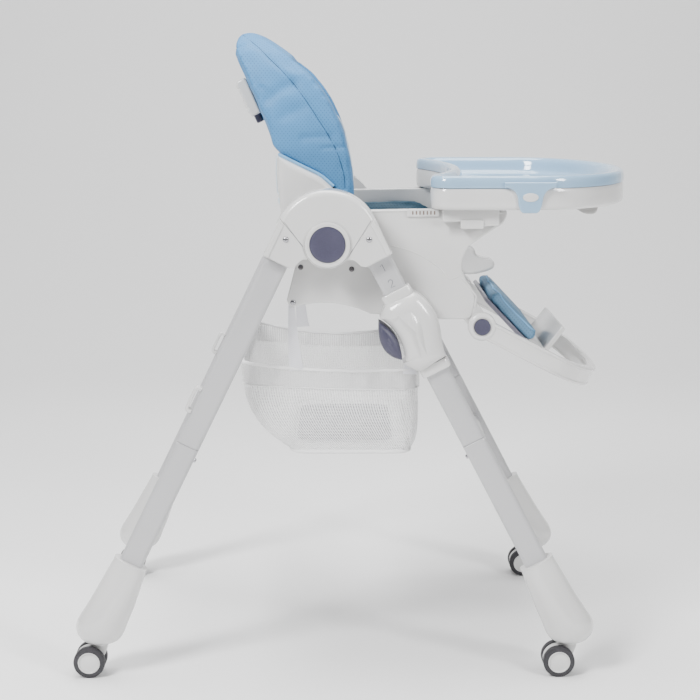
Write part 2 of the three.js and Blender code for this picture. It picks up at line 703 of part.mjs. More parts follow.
const handleLean = Math.atan2(23, 50);
const TRIGGER = { width: 52, depth: 11, height: 26, sink: 12, travel: 5 };

function backCushion() {
  const half = BACK_WIDTH / 2;
  const front = new THREE.Shape();
  front.moveTo(-half + 16, -40);
  front.lineTo(half - 16, -40);
  front.quadraticCurveTo(half, 20, half, 130);
  front.bezierCurveTo(half, 250, half - 20, 330, 0, 330);
  front.bezierCurveTo(-half + 20, 330, -half, 250, -half, 130);
  front.quadraticCurveTo(-half, 20, -half + 16, -40);
  const silhouette = plate(front, -200, 100, 0, 7);
  silhouette.rotateY(Math.PI / 2);
  silhouette.rotateX(Math.PI / 2);
  const hollow = slab(polygon([
    [25, -40], [23, 60], [2, 150], [-30, 215], [-50, 250], [-58, 275], [-58, 292], [-40, 300], [120, 300],
    [120, -40],
  ]), -half + 46, half - 46);
  const neck = handleBlock(50, 40 + 2 * RUNNING_GAP, 24 + 2 * RUNNING_GAP, 22);
  const padding = common(slab(coverOutline(), -half, half, 6, 6), silhouette);
  return cut(padding, hollow, corePlate(RUNNING_GAP), neck);
}

function reclineHandle() {
  const grip = handleBlock(HANDLE.depth, HANDLE.width, HANDLE.height);
  const neck = handleBlock(24, 40, 24, 16);
  const pocket = handleBlock(TRIGGER.depth + 2 * RUNNING_GAP, TRIGGER.width + 2 * RUNNING_GAP,
    2 * (TRIGGER.sink + TRIGGER.travel + RUNNING_GAP), 0, -HANDLE.height / 2);
  return cut(cut(join(grip, neck), corePlate(GAP)), pocket);
}

function reclineTrigger() {
  return handleBlock(TRIGGER.depth, TRIGGER.width, TRIGGER.height, 0,
    -HANDLE.height / 2 + TRIGGER.sink - TRIGGER.height / 2);
}

// ---- Leg rest, in a frame at its pivot with +X along the arms ------------------------------------

const hoopInner = panelOuter + GAP;
const hoopOuter = hoopInner + HOOP_BAND;

// Plan of a U that is open at the pivot: straight arms, then a round nose.
function hoopPlan(half, reach) {
  const straight = 110;
  const shape = new THREE.Shape();
  shape.moveTo(0, -half);
  shape.lineTo(straight, -half);
  shape.bezierCurveTo(0.85 * reach, -half, reach, -0.62 * half, reach, 0);
  shape.bezierCurveTo(reach, 0.62 * half, 0.85 * reach, half, straight, half);
  shape.lineTo(0, half);
  shape.closePath();
  return shape;
}

function legrestHoop() {
  const low = -HOOP_HEIGHT / 2 - 1;
  const high = HOOP_HEIGHT / 2 - 1;
  const outer = plate(hoopPlan(hoopOuter, LEGREST_REACH), low, high, 2, 8);
  const inner = plate(hoopPlan(hoopInner, LEGREST_REACH - HOOP_BAND), low - 5, high + 5, 0, 8);
  const opening = box(-80, 30, -hoopInner, hoopInner, low - 20, high + 20);
  const discs = [1, -1].map((side) => crossBar(LEGREST_HUB_RADIUS,
    side > 0 ? hoopInner : -hoopOuter - 2, side > 0 ? hoopOuter + 2 : -hoopInner, 0, 0, 28));
  const pockets = [1, -1].map((side) => crossBar(LEGREST_BUTTON_RADIUS + RUNNING_GAP,
    side > 0 ? hoopOuter - 8 : -hoopOuter - 5, side > 0 ? hoopOuter + 5 : -hoopOuter + 8, 0, 0, 20));
  return cut(join(outer, ...discs), inner, opening, ...pockets);
}

function legrestButton() {
  const low = hoopOuter - 8 + LEGREST_BUTTON_TRAVEL + GAP;
  return crossBar(LEGREST_BUTTON_RADIUS, low, hoopOuter + 3, 0, 0, 20);
}

const PAD_SLOPE = THREE.MathUtils.degToRad(19);
const PAD_START = new THREE.Vector2(3, 34);
const PAD_LENGTH = 104;
const BOARD_THICKNESS = 7;
const PAD_CLEARANCE = 100;    // between the calf pad and each side panel's outer face
const PAD_WIDTH = SEAT_WIDTH - 2 * PAD_CLEARANCE;
const STEP_OVERLAP = 18;      // of the calf board beyond each end of the foot step

// A block whose lower face lies on the calf board's line, moved off it by a distance.
function onBoard(length, width, thickness, off) {
  const geometry = new THREE.BoxGeometry(length, width, thickness);
  geometry.translate(length / 2, 0, off + thickness / 2);
  geometry.rotateY(PAD_SLOPE);
  geometry.translate(PAD_START.x, 0, PAD_START.y);
  return geometry;
}

function footPlate() {
  const board = onBoard(PAD_LENGTH + 12, PAD_WIDTH - 8, BOARD_THICKNESS, -BOARD_THICKNESS);
  const stepHalf = PAD_WIDTH / 2 - STEP_OVERLAP;
  const stepShape = polygon([[110, -14], [134, -14], [142, 48], [135, 48], [127, 0], [108, -2]]);
  const step = slab(stepShape, -stepHalf, stepHalf);
  const inHoop = plate(hoopPlan(hoopInner - GAP, LEGREST_REACH - HOOP_BAND), -14, -5, 0, 8);
  const cross = common(inHoop, box(106, 130, -hoopOuter, hoopOuter, -20, 0));
  return join(board, step, cross);
}

function calfPad() {
  const width = PAD_WIDTH / 2;
  const outline = new THREE.Shape();
  outline.moveTo(0, -width + 10);
  outline.quadraticCurveTo(0, -width, 12, -width);
  outline.lineTo(PAD_LENGTH - 12, -width);
  outline.quadraticCurveTo(PAD_LENGTH, -width, PAD_LENGTH, -width + 12);
  outline.lineTo(PAD_LENGTH, width - 12);
  outline.quadraticCurveTo(PAD_LENGTH, width, PAD_LENGTH - 12, width);
  outline.lineTo(12, width);
  outline.quadraticCurveTo(0, width, 0, width - 10);
  outline.closePath();
  const pad = plate(outline, CUSHION_GAP, 19, 5, 3);
  pad.rotateY(PAD_SLOPE);
  pad.translate(PAD_START.x, 0, PAD_START.y);
  return pad;
}

// ---- Tray ---------------------------------------------------------------------------------------

// Plan of the tray, drawn in from its edge by an inset: two arms around a shallow belly curve, and a
// round front.
function trayPlan(inset) {
  const half = TRAY_WIDTH / 2 - inset;
  const back = TRAY_BACK + inset;
  const front = TRAY_FRONT - inset;
  const armHalf = half - 38 + 0.7 * inset;
  const belly = back + 88;
  const shape = new THREE.Shape();
  shape.moveTo(back, -armHalf);
  shape.quadraticCurveTo(back, -half, back + 34, -half);
  shape.lineTo(back + 150, -half);
  shape.bezierCurveTo(front - 66, -half, front, -0.58 * half, front, 0);
  shape.bezierCurveTo(front, 0.58 * half, front - 66, half, back + 150, half);
  shape.lineTo(back + 34, half);
  shape.quadraticCurveTo(back, half, back, armHalf);
  shape.quadraticCurveTo(belly, 0, back, -armHalf);
  return shape;
}

const trayBaseTop = TRAY_BOTTOM + TRAY_BASE_HEIGHT;
const trayRim = trayBaseTop + TRAY_RIM_HEIGHT;
const BRACKET = { back: 176, front: 258, drop: 28, thickness: 14 };

function trayBase() {
  const body = plate(trayPlan(0), TRAY_BOTTOM, trayBaseTop, 3, 7);
  const cavity = plate(trayPlan(TRAY_WALL), TRAY_BOTTOM + TRAY_FLOOR, trayBaseTop + 5, 0, 7);
  const inner = panelOuter + RUNNING_GAP;
  const bracket = box(BRACKET.back, BRACKET.front, inner, inner + BRACKET.thickness,
    TRAY_BOTTOM - BRACKET.drop, TRAY_BOTTOM + 4);
  return join(cut(body, cavity), bracket, mirrored(bracket));
}

function trayTop() {
  const low = trayBaseTop + GAP;
  const rim = plate(trayPlan(0), low, trayRim, 4, 7);
  const tub = plate(trayPlan(TRAY_WALL + 1), low - 12, low + 6, 0, 7);
  const well = plate(trayPlan(TRAY_WALL + 8), low - 8, trayRim + 5, 0, 7);
  const tab = slab(polygon([[288, TRAY_BOTTOM - 4], [326, TRAY_BOTTOM - 4], [334, low + 8], [282, low + 8]]),
    TRAY_WIDTH / 2 + GAP, TRAY_WIDTH / 2 + 5);
  const bridge = box(282, 334, TRAY_WIDTH / 2 - 8, TRAY_WIDTH / 2 + 5, low + 2, low + 8);
  return cut(join(rim, tub, tab, mirrored(tab), bridge, mirrored(bridge)), well);
}

function trayLever() {
  const shape = new THREE.Shape();
  shape.moveTo(404, TRAY_BOTTOM - GAP);
  shape.quadraticCurveTo(410, TRAY_BOTTOM - 22, 430, TRAY_BOTTOM - 26);
  shape.lineTo(444, TRAY_BOTTOM - 26);
  shape.lineTo(450, TRAY_BOTTOM - GAP);
  shape.closePath();
  return slab(shape, -40, 40, 2);
}

// ---- Basket -------------------------------------------------------------------------------------

// Side outline of the basket, drawn in by its wall.
function basketOutline(inset) {
  const rise = inset > 0 ? 20 : 0;
  return polygon([
    [-137 + inset, -193 + rise], [-88 + inset, -318], [-58 + inset, -341 + inset],
    [128 - inset, -341 + inset], [143 - inset, -203 + rise],
  ]);
}

function basket() {
  const half = BASKET_WIDTH / 2;
  const outside = slab(basketOutline(0), -half, half, 2);
  const inside = slab(basketOutline(BASKET_WALL), -half + BASKET_WALL, half - BASKET_WALL);
  return cut(outside, inside);
}

// ---- Assembly -----------------------------------------------------------------------------------

const chair = new THREE.Group();
const frontFrame = new THREE.Group();
const rearFrame = new THREE.Group();
const seat = new THREE.Group();
const hubPieces = hub();
const sliderPieces = slider();

frontFrame.add(frontLegs);
legTubes(frontLegs, 'front', alongLegTo(frontLegs, FOOT_TOP));
crossTube(frontLegs, 'front_cross_tube', FRONT_CROSS_AT);
addPair(frontFrame, 'hub_dome', hubPieces.dome, whitePlastic);
addPair(frontFrame, 'hub_front_socket', hubPieces.frontSocket, whitePlastic);
addPair(frontFrame, 'hub_button', hubPieces.button, greyPlastic);
feetAndCasters(frontFrame, frontLegs, 'front', 1);

rearFrame.add(rearLegs);
legTubes(rearLegs, 'rear', alongLegTo(rearLegs, FOOT_TOP));
crossTube(rearLegs, 'rear_cross_tube', REAR_CROSS_AT);
addPair(rearFrame, 'hub_rear_socket', hubPieces.rearSocket, whitePlastic);
feetAndCasters(rearFrame, rearLegs, 'rear', -1);

addPair(frontLegs, 'slider_housing', sliderPieces.housing, whitePlastic);
addPair(frontLegs, 'slider_button', sliderPieces.button, greyPlastic);

addPair(seat, 'side_panel', sidePanel(), whitePlastic);
addPiece(seat, 'seat_pan', seatPan(), whitePlastic);
addPiece(seat, 'seat_cushion', seatCushion(), leatherette);
addPiece(seat, 'crotch_post', crotchPost(), whitePlastic);
addPiece(seat, 'basket', basket(), meshFabric);

addPiece(seat, 'backrest_shell', backShell(), whitePlastic);
addPiece(seat, 'back_cushion', backCushion(), leatherette);
addPiece(seat, 'recline_handle', reclineHandle(), whitePlastic);
addPiece(seat, 'recline_trigger', reclineTrigger(), greyPlastic);

const legrest = new THREE.Group();
legrest.position.set(LEGREST_PIVOT.x, 0, LEGREST_PIVOT.y);
legrest.rotation.y = THREE.MathUtils.degToRad(LEGREST_ANGLE);
seat.add(legrest);
addPiece(legrest, 'legrest_hoop', legrestHoop(), whitePlastic);
addPiece(legrest, 'foot_plate', footPlate(), whitePlastic);
addPiece(legrest, 'calf_pad', calfPad(), leatherette);
addPair(legrest, 'legrest_button', legrestButton(), greyPlastic);

addPiece(seat, 'tray_base', trayBase(), whitePlastic);
addPiece(seat, 'tray_top', trayTop(), trayBlue);
addPiece(seat, 'tray_lever', trayLever(), greyPlastic);

chair.add(frontFrame, rearFrame, seat);

// Stand the chair on Z = 0, with its outline centred on the Z axis.
chair.updateMatrixWorld(true);
const bounds = new THREE.Box3().setFromObject(chair, true);
const centre = bounds.getCenter(new THREE.Vector3());
chair.position.set(-centre.x, -centre.y, -bounds.min.z);

export default chair;
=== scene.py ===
import json
import math

import bmesh
import bpy
import numpy as np
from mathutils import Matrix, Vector
from mathutils.bvhtree import BVHTree


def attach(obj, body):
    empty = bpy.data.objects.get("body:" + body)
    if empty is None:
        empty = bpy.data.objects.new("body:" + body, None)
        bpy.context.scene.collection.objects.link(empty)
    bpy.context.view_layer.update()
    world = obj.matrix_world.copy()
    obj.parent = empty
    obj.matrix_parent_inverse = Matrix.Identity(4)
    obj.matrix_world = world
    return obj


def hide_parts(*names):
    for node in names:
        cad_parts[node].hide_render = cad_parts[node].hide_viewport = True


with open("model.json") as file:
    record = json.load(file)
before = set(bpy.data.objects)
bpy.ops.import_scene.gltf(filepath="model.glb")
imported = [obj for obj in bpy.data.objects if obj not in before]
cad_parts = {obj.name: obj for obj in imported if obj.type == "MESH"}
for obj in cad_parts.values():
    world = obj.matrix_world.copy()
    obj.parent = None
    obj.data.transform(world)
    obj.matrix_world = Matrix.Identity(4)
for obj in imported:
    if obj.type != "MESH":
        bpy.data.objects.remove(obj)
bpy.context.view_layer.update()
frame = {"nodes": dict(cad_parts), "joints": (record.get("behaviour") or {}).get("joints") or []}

bl_info = {
    "name": "Folding high chair",
    "version": (1, 0, 0),
    "blender": (4, 5, 0),
    "location": "3D View > Sidebar > High chair",
    "description": "Builds the finished surfaces and materials of a folding high chair around its frame",
    "category": "Object",
}

# ---- Places --------------------------------------------------------------------------------------
# Shapes are worked out in millimetres from the hub axis: x to the chair's front, y to the seated
# child's left, z up. A Place carries them into the frame, in metres.

MM = 0.001


def joint(name):
    return next(j for j in frame["joints"] if j["name"] == name)


HUB = np.array(joint("fold")["pos_m"])
RAIL = joint("seat_height")["axis"]
FRONT_LEAN = math.atan2(-RAIL[0], RAIL[2])
REAR_LEAN = math.radians(26)
LEG_OFFSET = 58
LEG_Y = 258
LEGREST_TURN = math.radians(27.5)
LEGREST_PIVOT = (np.array(joint("legrest_swing")["pos_m"]) - HUB) / MM
FLOOR = -HUB[2] / MM


class Place:
    """A frame at (x, z) turned about the chair's cross axis; calling it gives points in metres."""

    def __init__(self, x=0.0, z=0.0, turn=0.0):
        self.origin = np.array([x, 0.0, z])
        self.along = np.array([math.cos(turn), 0.0, -math.sin(turn)])
        self.up = np.array([math.sin(turn), 0.0, math.cos(turn)])

    def local(self, points):
        points = np.asarray(points, float)
        across = points[..., 1:2] * np.array([0.0, 1.0, 0.0])
        return self.origin + points[..., :1] * self.along + across + points[..., 2:] * self.up

    def __call__(self, points):
        return HUB + MM * self.local(points)


AT_HUB = Place()
FRONT_LEG = Place(LEG_OFFSET * math.cos(FRONT_LEAN), LEG_OFFSET * math.sin(FRONT_LEAN), -FRONT_LEAN)
REAR_LEG = Place(-LEG_OFFSET * math.cos(REAR_LEAN), LEG_OFFSET * math.sin(REAR_LEAN), REAR_LEAN)
LEGREST = Place(LEGREST_PIVOT[0], LEGREST_PIVOT[2], LEGREST_TURN)
PAD_SLOPE = math.radians(19)
PAD_START = LEGREST.local([3, 0, 34])
CALF = Place(PAD_START[0], PAD_START[2], LEGREST_TURN + PAD_SLOPE)
HANDLE_LEAN = math.atan2(23, 50)
HANDLE = Place(-131, 216, -HANDLE_LEAN)


def down_to(place, z):
    """Distance down a leg to a height, both in millimetres from the hub."""
    return (place.origin[2] - z) / place.up[2]


# ---- Outlines ------------------------------------------------------------------------------------

def curve(*controls, steps=12):
    """Bezier curve of any degree: each point is the Bernstein-weighted mean of the controls."""
    controls = np.array(controls, float)
    degree = len(controls) - 1
    t = np.linspace(0, 1, steps + 1)[:, None]
    order = np.arange(degree + 1)
    ways = np.array([math.comb(degree, k) for k in order])
    return (ways * t ** order * (1 - t) ** (degree - order)) @ controls


def arc(x, z, radius, start, end, steps=16):
    """Circle's arc about (x, z), angles in degrees from +x towards +z."""
    angle = np.radians(np.linspace(start, end, steps + 1))
    return np.stack([x + radius * np.cos(angle), z + radius * np.sin(angle)], -1)


def rounded(corners, steps=6):
    """Closed outline of straight runs; each corner (x, z, radius) is cut by a quadratic curve that
    leaves its two runs at radius over the tangent of half its angle."""
    corners = np.array(corners, float)
    tip, radius = corners[:, :2], corners[:, 2]
    back, ahead = np.roll(tip, 1, 0) - tip, np.roll(tip, -1, 0) - tip
    back_length, ahead_length = np.linalg.norm(back, axis=1), np.linalg.norm(ahead, axis=1)
    back, ahead = back / back_length[:, None], ahead / ahead_length[:, None]
    half = np.arccos(np.clip((back * ahead).sum(1), -0.999, 0.999)) / 2
    reach = np.minimum(radius / np.tan(half), 0.48 * np.minimum(back_length, ahead_length))[:, None]
    t = np.linspace(0, 1, steps + 1)[:, None, None]
    start, end = tip + back * reach, tip + ahead * reach
    bend = (1 - t) ** 2 * start + 2 * t * (1 - t) * tip + t ** 2 * end
    return apart(bend.transpose(1, 0, 2).reshape(-1, 2))


def apart(points, least=0.02):
    """The points without those that lie on the one before."""
    points = np.asarray(points, float)
    return points[np.linalg.norm(points - np.roll(points, 1, 0), axis=1) > least]


def through(points, steps=8, closed=True):
    """Catmull-Rom curve: between two points, a cubic whose end slopes are half the chord between
    their neighbours."""
    points = np.asarray(points, float)
    if closed:
        p0, p1, p2, p3 = (np.roll(points, k, 0) for k in (1, 0, -1, -2))
    else:
        padded = np.concatenate([2 * points[:1] - points[1:2], points, 2 * points[-1:] - points[-2:-1]])
        p0, p1, p2, p3 = padded[:-3], padded[1:-2], padded[2:-1], padded[3:]
    t = np.linspace(0, 1, steps, endpoint=False)[:, None, None]
    cubic = 0.5 * (2 * p1 + (p2 - p0) * t + (2 * p0 - 5 * p1 + 4 * p2 - p3) * t ** 2
                   + (3 * p1 - p0 - 3 * p2 + p3) * t ** 3)
    cubic = cubic.transpose(1, 0, 2).reshape(-1, points.shape[1])
    return cubic if closed else np.concatenate([cubic, points[-1:]])


def even(points, count, closed=True):
    """The same line with its points at equal distances along it."""
    points = np.asarray(points, float)
    if closed:
        points = np.concatenate([points, points[:1]])
    length = np.concatenate([[0], np.cumsum(np.linalg.norm(np.diff(points, axis=0), axis=1))])
    wanted = np.linspace(0, length[-1], count, endpoint=not closed)
    return np.stack([np.interp(wanted, length, column) for column in points.T], -1)


def inwards(outline):
    """Mitre direction into a closed outline at each point, one unit in from both its runs."""
    run = np.roll(outline, -1, 0) - outline
    run = run / np.linalg.norm(run, axis=1)[:, None]
    normal = np.stack([-run[:, 1], run[:, 0]], -1)
    before = np.roll(normal, 1, 0)
    mitre = (normal + before) / np.maximum(1 + (normal * before).sum(1), 0.4)[:, None]
    x, z = outline.T
    turns_left = (x * np.roll(z, -1) - np.roll(x, -1) * z).sum() > 0
    return mitre if turns_left else -mitre


# ---- Surfaces ------------------------------------------------------------------------------------

def skin(rings, loop=False):
    """Quads between one closed ring of points and the next. A loop joins the last ring to the first;
    otherwise both end rings are filled. A ring with all its points at one place is a pole."""
    rings = np.asarray(rings, float)
    count, around = rings.shape[:2]
    here = np.arange(around)
    ahead = (here + 1) % around
    first = np.arange(count if loop else count - 1)[:, None] * around
    second = (first + around) % (count * around)
    quads = np.stack([first + here, first + ahead, second + ahead, second + here], -1)
    faces = quads.reshape(-1, 4).tolist()
    if not loop:
        faces += [here[::-1].tolist(), (here + (count - 1) * around).tolist()]
    return rings.reshape(-1, 3), faces


def lie(outline, height, axis):
    """Outline points (a, b) at a height along an axis: y gives (a, height, b), z gives (a, b, height)."""
    a, b = outline[..., 0], outline[..., 1]
    height = np.broadcast_to(height, a.shape)
    return np.stack([a, height, b] if axis == "y" else [a, b, height], -1)


def drawn(outline, distance):
    """Outline drawn in by a distance. A run that would turn back on itself shrinks to its middle."""
    shape = outline + inwards(outline) * distance[:, None]
    run = np.roll(outline, -1, 0) - outline
    for _ in range(60):
        back = np.flatnonzero(((np.roll(shape, -1, 0) - shape) * run).sum(1) < -1e-9)
        if not len(back):
            break
        for i in back:
            j = (i + 1) % len(shape)
            shape[i] = shape[j] = (shape[i] + shape[j]) / 2
    return shape


def moulded(outline, low, high, edge=2.0, crown=0.0, axis="y", steps=4, under=None, drop=None):
    """Plate whose rims are quarter rounds: at angle a the outline is drawn in by edge (1 - cos a) and
    the face lies drop (1 - sin a) short of its level, drop being the edge unless it is given. A crowned
    upper face shrinks to the outline's middle while it rises by crown times one less the shrink
    squared."""
    outline = np.asarray(outline, float)
    under = edge if under is None else under
    drop = edge if drop is None else drop
    a = np.linspace(0, math.pi / 2, steps + 1)[:, None]

    def rim(radius, depth, level, sign):
        full = drawn(outline, np.full(len(outline), float(radius))) - outline
        shape = outline + full * (1 - np.cos(a))[..., None]
        return lie(shape, level + sign * depth * (1 - np.sin(a)), axis)

    lower = rim(under, under, low, 1)[::-1]
    upper = rim(edge, drop, high, -1)
    plane = [0, 2] if axis == "y" else [0, 1]
    beds = []
    for ring, radius in ((lower[:1], under), (upper[-1:], edge)):
        bed = ring.copy()
        bed[0][:, plane] = drawn(outline, np.full(len(outline), radius + 0.4))
        beds.append(bed)
    rings = [beds[0], lower, upper, beds[1]]
    if crown:
        middle = beds[1][0].mean(0)
        shrink = np.linspace(1, 0, 14)[1:, None, None]
        dome = middle + (beds[1] - middle) * shrink
        dome[..., 1 if axis == "y" else 2] = high + crown * (1 - shrink[..., 0] ** 2)
        rings.append(dome)
    return skin(np.concatenate(rings))


def turned(profile, axis="z", sides=48, flat=1.0, centre=(0, 0, 0)):
    """Profile of (radius, height) turned about an axis; flat scales it across the chair."""
    profile = np.asarray(profile, float)
    angle = np.linspace(0, 2 * math.pi, sides, endpoint=False)
    a = profile[:, :1] * np.cos(angle)
    b = profile[:, :1] * np.sin(angle)
    if axis == "z":
        b = b * flat
    return skin(lie(np.stack([a, b], -1), profile[:, 1:], axis) + np.asarray(centre, float))


def ring_of(profile, axis="y", sides=48, centre=(0, 0, 0)):
    """Closed profile of (radius, height) turned about an axis, with a hole in its middle."""
    profile = np.asarray(profile, float)
    angle = np.linspace(0, 2 * math.pi, sides, endpoint=False)
    circle = np.stack([profile[:, :1] * np.cos(angle), profile[:, :1] * np.sin(angle)], -1)
    return skin(lie(circle, profile[:, 1:], axis) + np.asarray(centre, float), loop=True)


def swept(path, section, up=(0, 0, 1), closed=False):
    """Section (across, up) carried along a path, square to it, with its second axis nearest to up."""
    path, section = np.asarray(path, float), np.asarray(section, float)
    tangent = np.roll(path, -1, 0) - np.roll(path, 1, 0) if closed else np.gradient(path, axis=0)
    tangent /= np.linalg.norm(tangent, axis=1)[:, None]
    side = np.cross(tangent, up)
    side /= np.linalg.norm(side, axis=1)[:, None]
    top = np.cross(side, tangent)
    rings = (path[:, None] + section[None, :, :1] * side[:, None] + section[None, :, 1:] * top[:, None])
    return skin(rings, loop=closed)


def bar(radius, sides=12):
    """Round section."""
    angle = np.linspace(0, 2 * math.pi, sides, endpoint=False)
    return radius * np.stack([np.cos(angle), np.sin(angle)], -1)


def block(width, height, radius, steps=4):
    """Rounded rectangular section about its middle."""
    w, h = width / 2, height / 2
    return rounded([(-w, -h, radius), (w, -h, radius), (w, h, radius), (-w, h, radius)], steps)


def moved(shape, place):
    """A shape in a local frame, carried to the hub's frame."""
    points, faces = shape
    return place.local(points), faces


def shifted(shape, x=0.0, y=0.0, z=0.0):
    points, faces = shape
    return points + np.array([x, y, z]), faces


def mirrored(shape):
    """The same shape on the other side of the chair."""
    points, faces = shape
    return points * np.array([1, -1, 1]), [face[::-1] for face in faces]


def sided(shape, side):
    return shape if side == "l" else mirrored(shape)


SIDES = ("l", "r")
WORDS = {"l": "left", "r": "right"}


# ---- Finishes ------------------------------------------------------------------------------------

class Wire:
    """A shader socket that adds Math nodes when it is used in a sum."""

    def __init__(self, finish, socket):
        self.finish, self.socket = finish, socket

    def math(self, operation, *others):
        inputs = {k: v for k, v in enumerate((self, *others))}
        return self.finish.node("ShaderNodeMath", {"operation": operation}, inputs)

    def flipped(self, operation, other):
        return self.finish.node("ShaderNodeMath", {"operation": operation}, {0: other, 1: self})

    def __add__(self, other):
        return self.math("ADD", other)

    def __radd__(self, other):
        return self.math("ADD", other)

    def __sub__(self, other):
        return self.math("SUBTRACT", other)

    def __rsub__(self, other):
        return self.flipped("SUBTRACT", other)

    def __mul__(self, other):
        return self.math("MULTIPLY", other)

    def __rmul__(self, other):
        return self.math("MULTIPLY", other)

    def __truediv__(self, other):
        return self.math("DIVIDE", other)

    def __pow__(self, other):
        return self.math("POWER", other)

    def __lt__(self, other):
        return self.math("LESS_THAN", other)

    def __gt__(self, other):
        return self.math("GREATER_THAN", other)

    def fraction(self):
        return self.math("FRACT")

    def floor(self):
        return self.math("FLOOR")

    def size(self):
        return self.math("ABSOLUTE")

    def sine(self):
        return self.math("SINE")

    def least(self, other):
        return self.math("MINIMUM", other)

    def most(self, other):
        return self.math("MAXIMUM", other)

    def between(self, low, high):
        """0 below low, 1 above high, smooth between."""
        settings = {"interpolation_type": "SMOOTHSTEP"}
        return self.finish.node("ShaderNodeMapRange", settings,
                                {"Value": self, "From Min": low, "From Max": high})


class Finish:
    """A Principled material; constants go straight on the shader's sockets."""

    def __init__(self, name, slot, **fixed):
        self.slot = slot
        self.material = bpy.data.materials.new(name)
        self.material.use_nodes = True
        self.tree = self.material.node_tree
        self.shader = next(n for n in self.tree.nodes if n.type == "BSDF_PRINCIPLED")
        for socket, value in fixed.items():
            self.shader.inputs[socket.replace("_", " ")].default_value = value

    def node(self, kind, settings=None, inputs=None, output=0):
        made = self.tree.nodes.new(kind)
        for key, value in (settings or {}).items():
            setattr(made, key, value)
        for key, value in (inputs or {}).items():
            if isinstance(value, Wire):
                self.tree.links.new(value.socket, made.inputs[key])
            else:
                made.inputs[key].default_value = value
        return Wire(self, made.outputs[output])

    def feed(self, **wires):
        for socket, wire in wires.items():
            self.tree.links.new(wire.socket, self.shader.inputs[socket.replace("_", " ")])

    def place(self):
        return self.node("ShaderNodeTexCoord", output="Object")

    def facing(self):
        return self.node("ShaderNodeTexCoord", output="Normal")

    def parts(self, vector):
        split = self.node("ShaderNodeSeparateXYZ", inputs={"Vector": vector})
        return split, Wire(self, split.socket.node.outputs[1]), Wire(self, split.socket.node.outputs[2])

    def noise(self, vector, scale, detail=3.0, roughness=0.5):
        inputs = {"Vector": vector, "Scale": scale, "Detail": detail, "Roughness": roughness}
        return self.node("ShaderNodeTexNoise", inputs=inputs)

    def cells(self, vector, scale, randomness=1.0):
        inputs = {"Vector": vector, "Scale": scale, "Randomness": randomness}
        return self.node("ShaderNodeTexVoronoi", inputs=inputs)

    def tint(self, factor, low, high):
        """Colour from low to high by a factor; either may be a wire or a fixed colour."""
        made = self.tree.nodes.new("ShaderNodeMix")
        made.data_type = "RGBA"
        self.tree.links.new(factor.socket, made.inputs[0])
        for key, colour in ((6, low), (7, high)):
            if isinstance(colour, Wire):
                self.tree.links.new(colour.socket, made.inputs[key])
            else:
                made.inputs[key].default_value = (*colour, 1)
        return Wire(self, made.outputs[2])

    def bump(self, height, depth, strength=1.0):
        """Normal from a height from 0 to 1 that stands for depth in metres."""
        return self.node("ShaderNodeBump", inputs={"Height": height, "Distance": depth, "Strength": strength})


def scaled(colour, factor):
    return tuple(min(1.0, c * factor) for c in colour)


def moulded_plastic(name, slot, colour, roughness, grain=0.00004):
    """Glossy moulded shell: slight waviness, a faint cloud of tone, and dust-dulled patches."""
    finish = Finish(name, slot, Coat_Weight=0.5, Coat_Roughness=0.05, IOR=1.5)
    place = finish.place()
    cloud = finish.noise(place, 9, 4)
    fine = finish.noise(place, 420, 2)
    wave = finish.noise(place, 28, 1)
    finish.feed(
        Base_Color=finish.tint(cloud.between(0.3, 0.75), scaled(colour, 0.955), scaled(colour, 1.015)),
        Roughness=roughness + (cloud - 0.5) * 0.10 + (fine - 0.5) * 0.06,
        Normal=finish.bump(wave * 0.8 + fine * 0.2, grain * 5, 0.5),
    )
    return finish


def painted_tube(name, slot, colour):
    """Powder paint: fine orange peel over a slow change of tone."""
    finish = Finish(name, slot, Coat_Weight=0.5, Coat_Roughness=0.08, IOR=1.5)
    place = finish.place()
    cloud = finish.noise(place, 7, 3)
    peel = finish.noise(place, 650, 2)
    finish.feed(
        Base_Color=finish.tint(cloud.between(0.3, 0.7), scaled(colour, 0.96), colour),
        Roughness=0.3 + (peel - 0.5) * 0.16,
        Normal=finish.bump(peel, 0.00008, 0.5),
    )
    return finish


def dimpled_grey(name, slot, colour):
    """Press faces: a close field of shallow dimples, their tone darker in the hollows as painted shade and
    lighter on the tops.
    """
    finish = Finish(name, slot, IOR=1.48)
    place = finish.place()
    dimple = finish.cells(place, 620, 0.55)
    cloud = finish.noise(place, 40, 3)
    finish.feed(
        # Tone follows the dimples: painted shade in their hollows, lighter on their tops.
        Base_Color=finish.tint((dimple * 0.6 + cloud * 0.5).between(0.2, 0.8), scaled(colour, 0.86),
                               scaled(colour, 1.12)),
        Roughness=0.42 + (cloud - 0.5) * 0.2,
        Normal=finish.bump(dimple, 0.00025, 0.7),
    )
    return finish


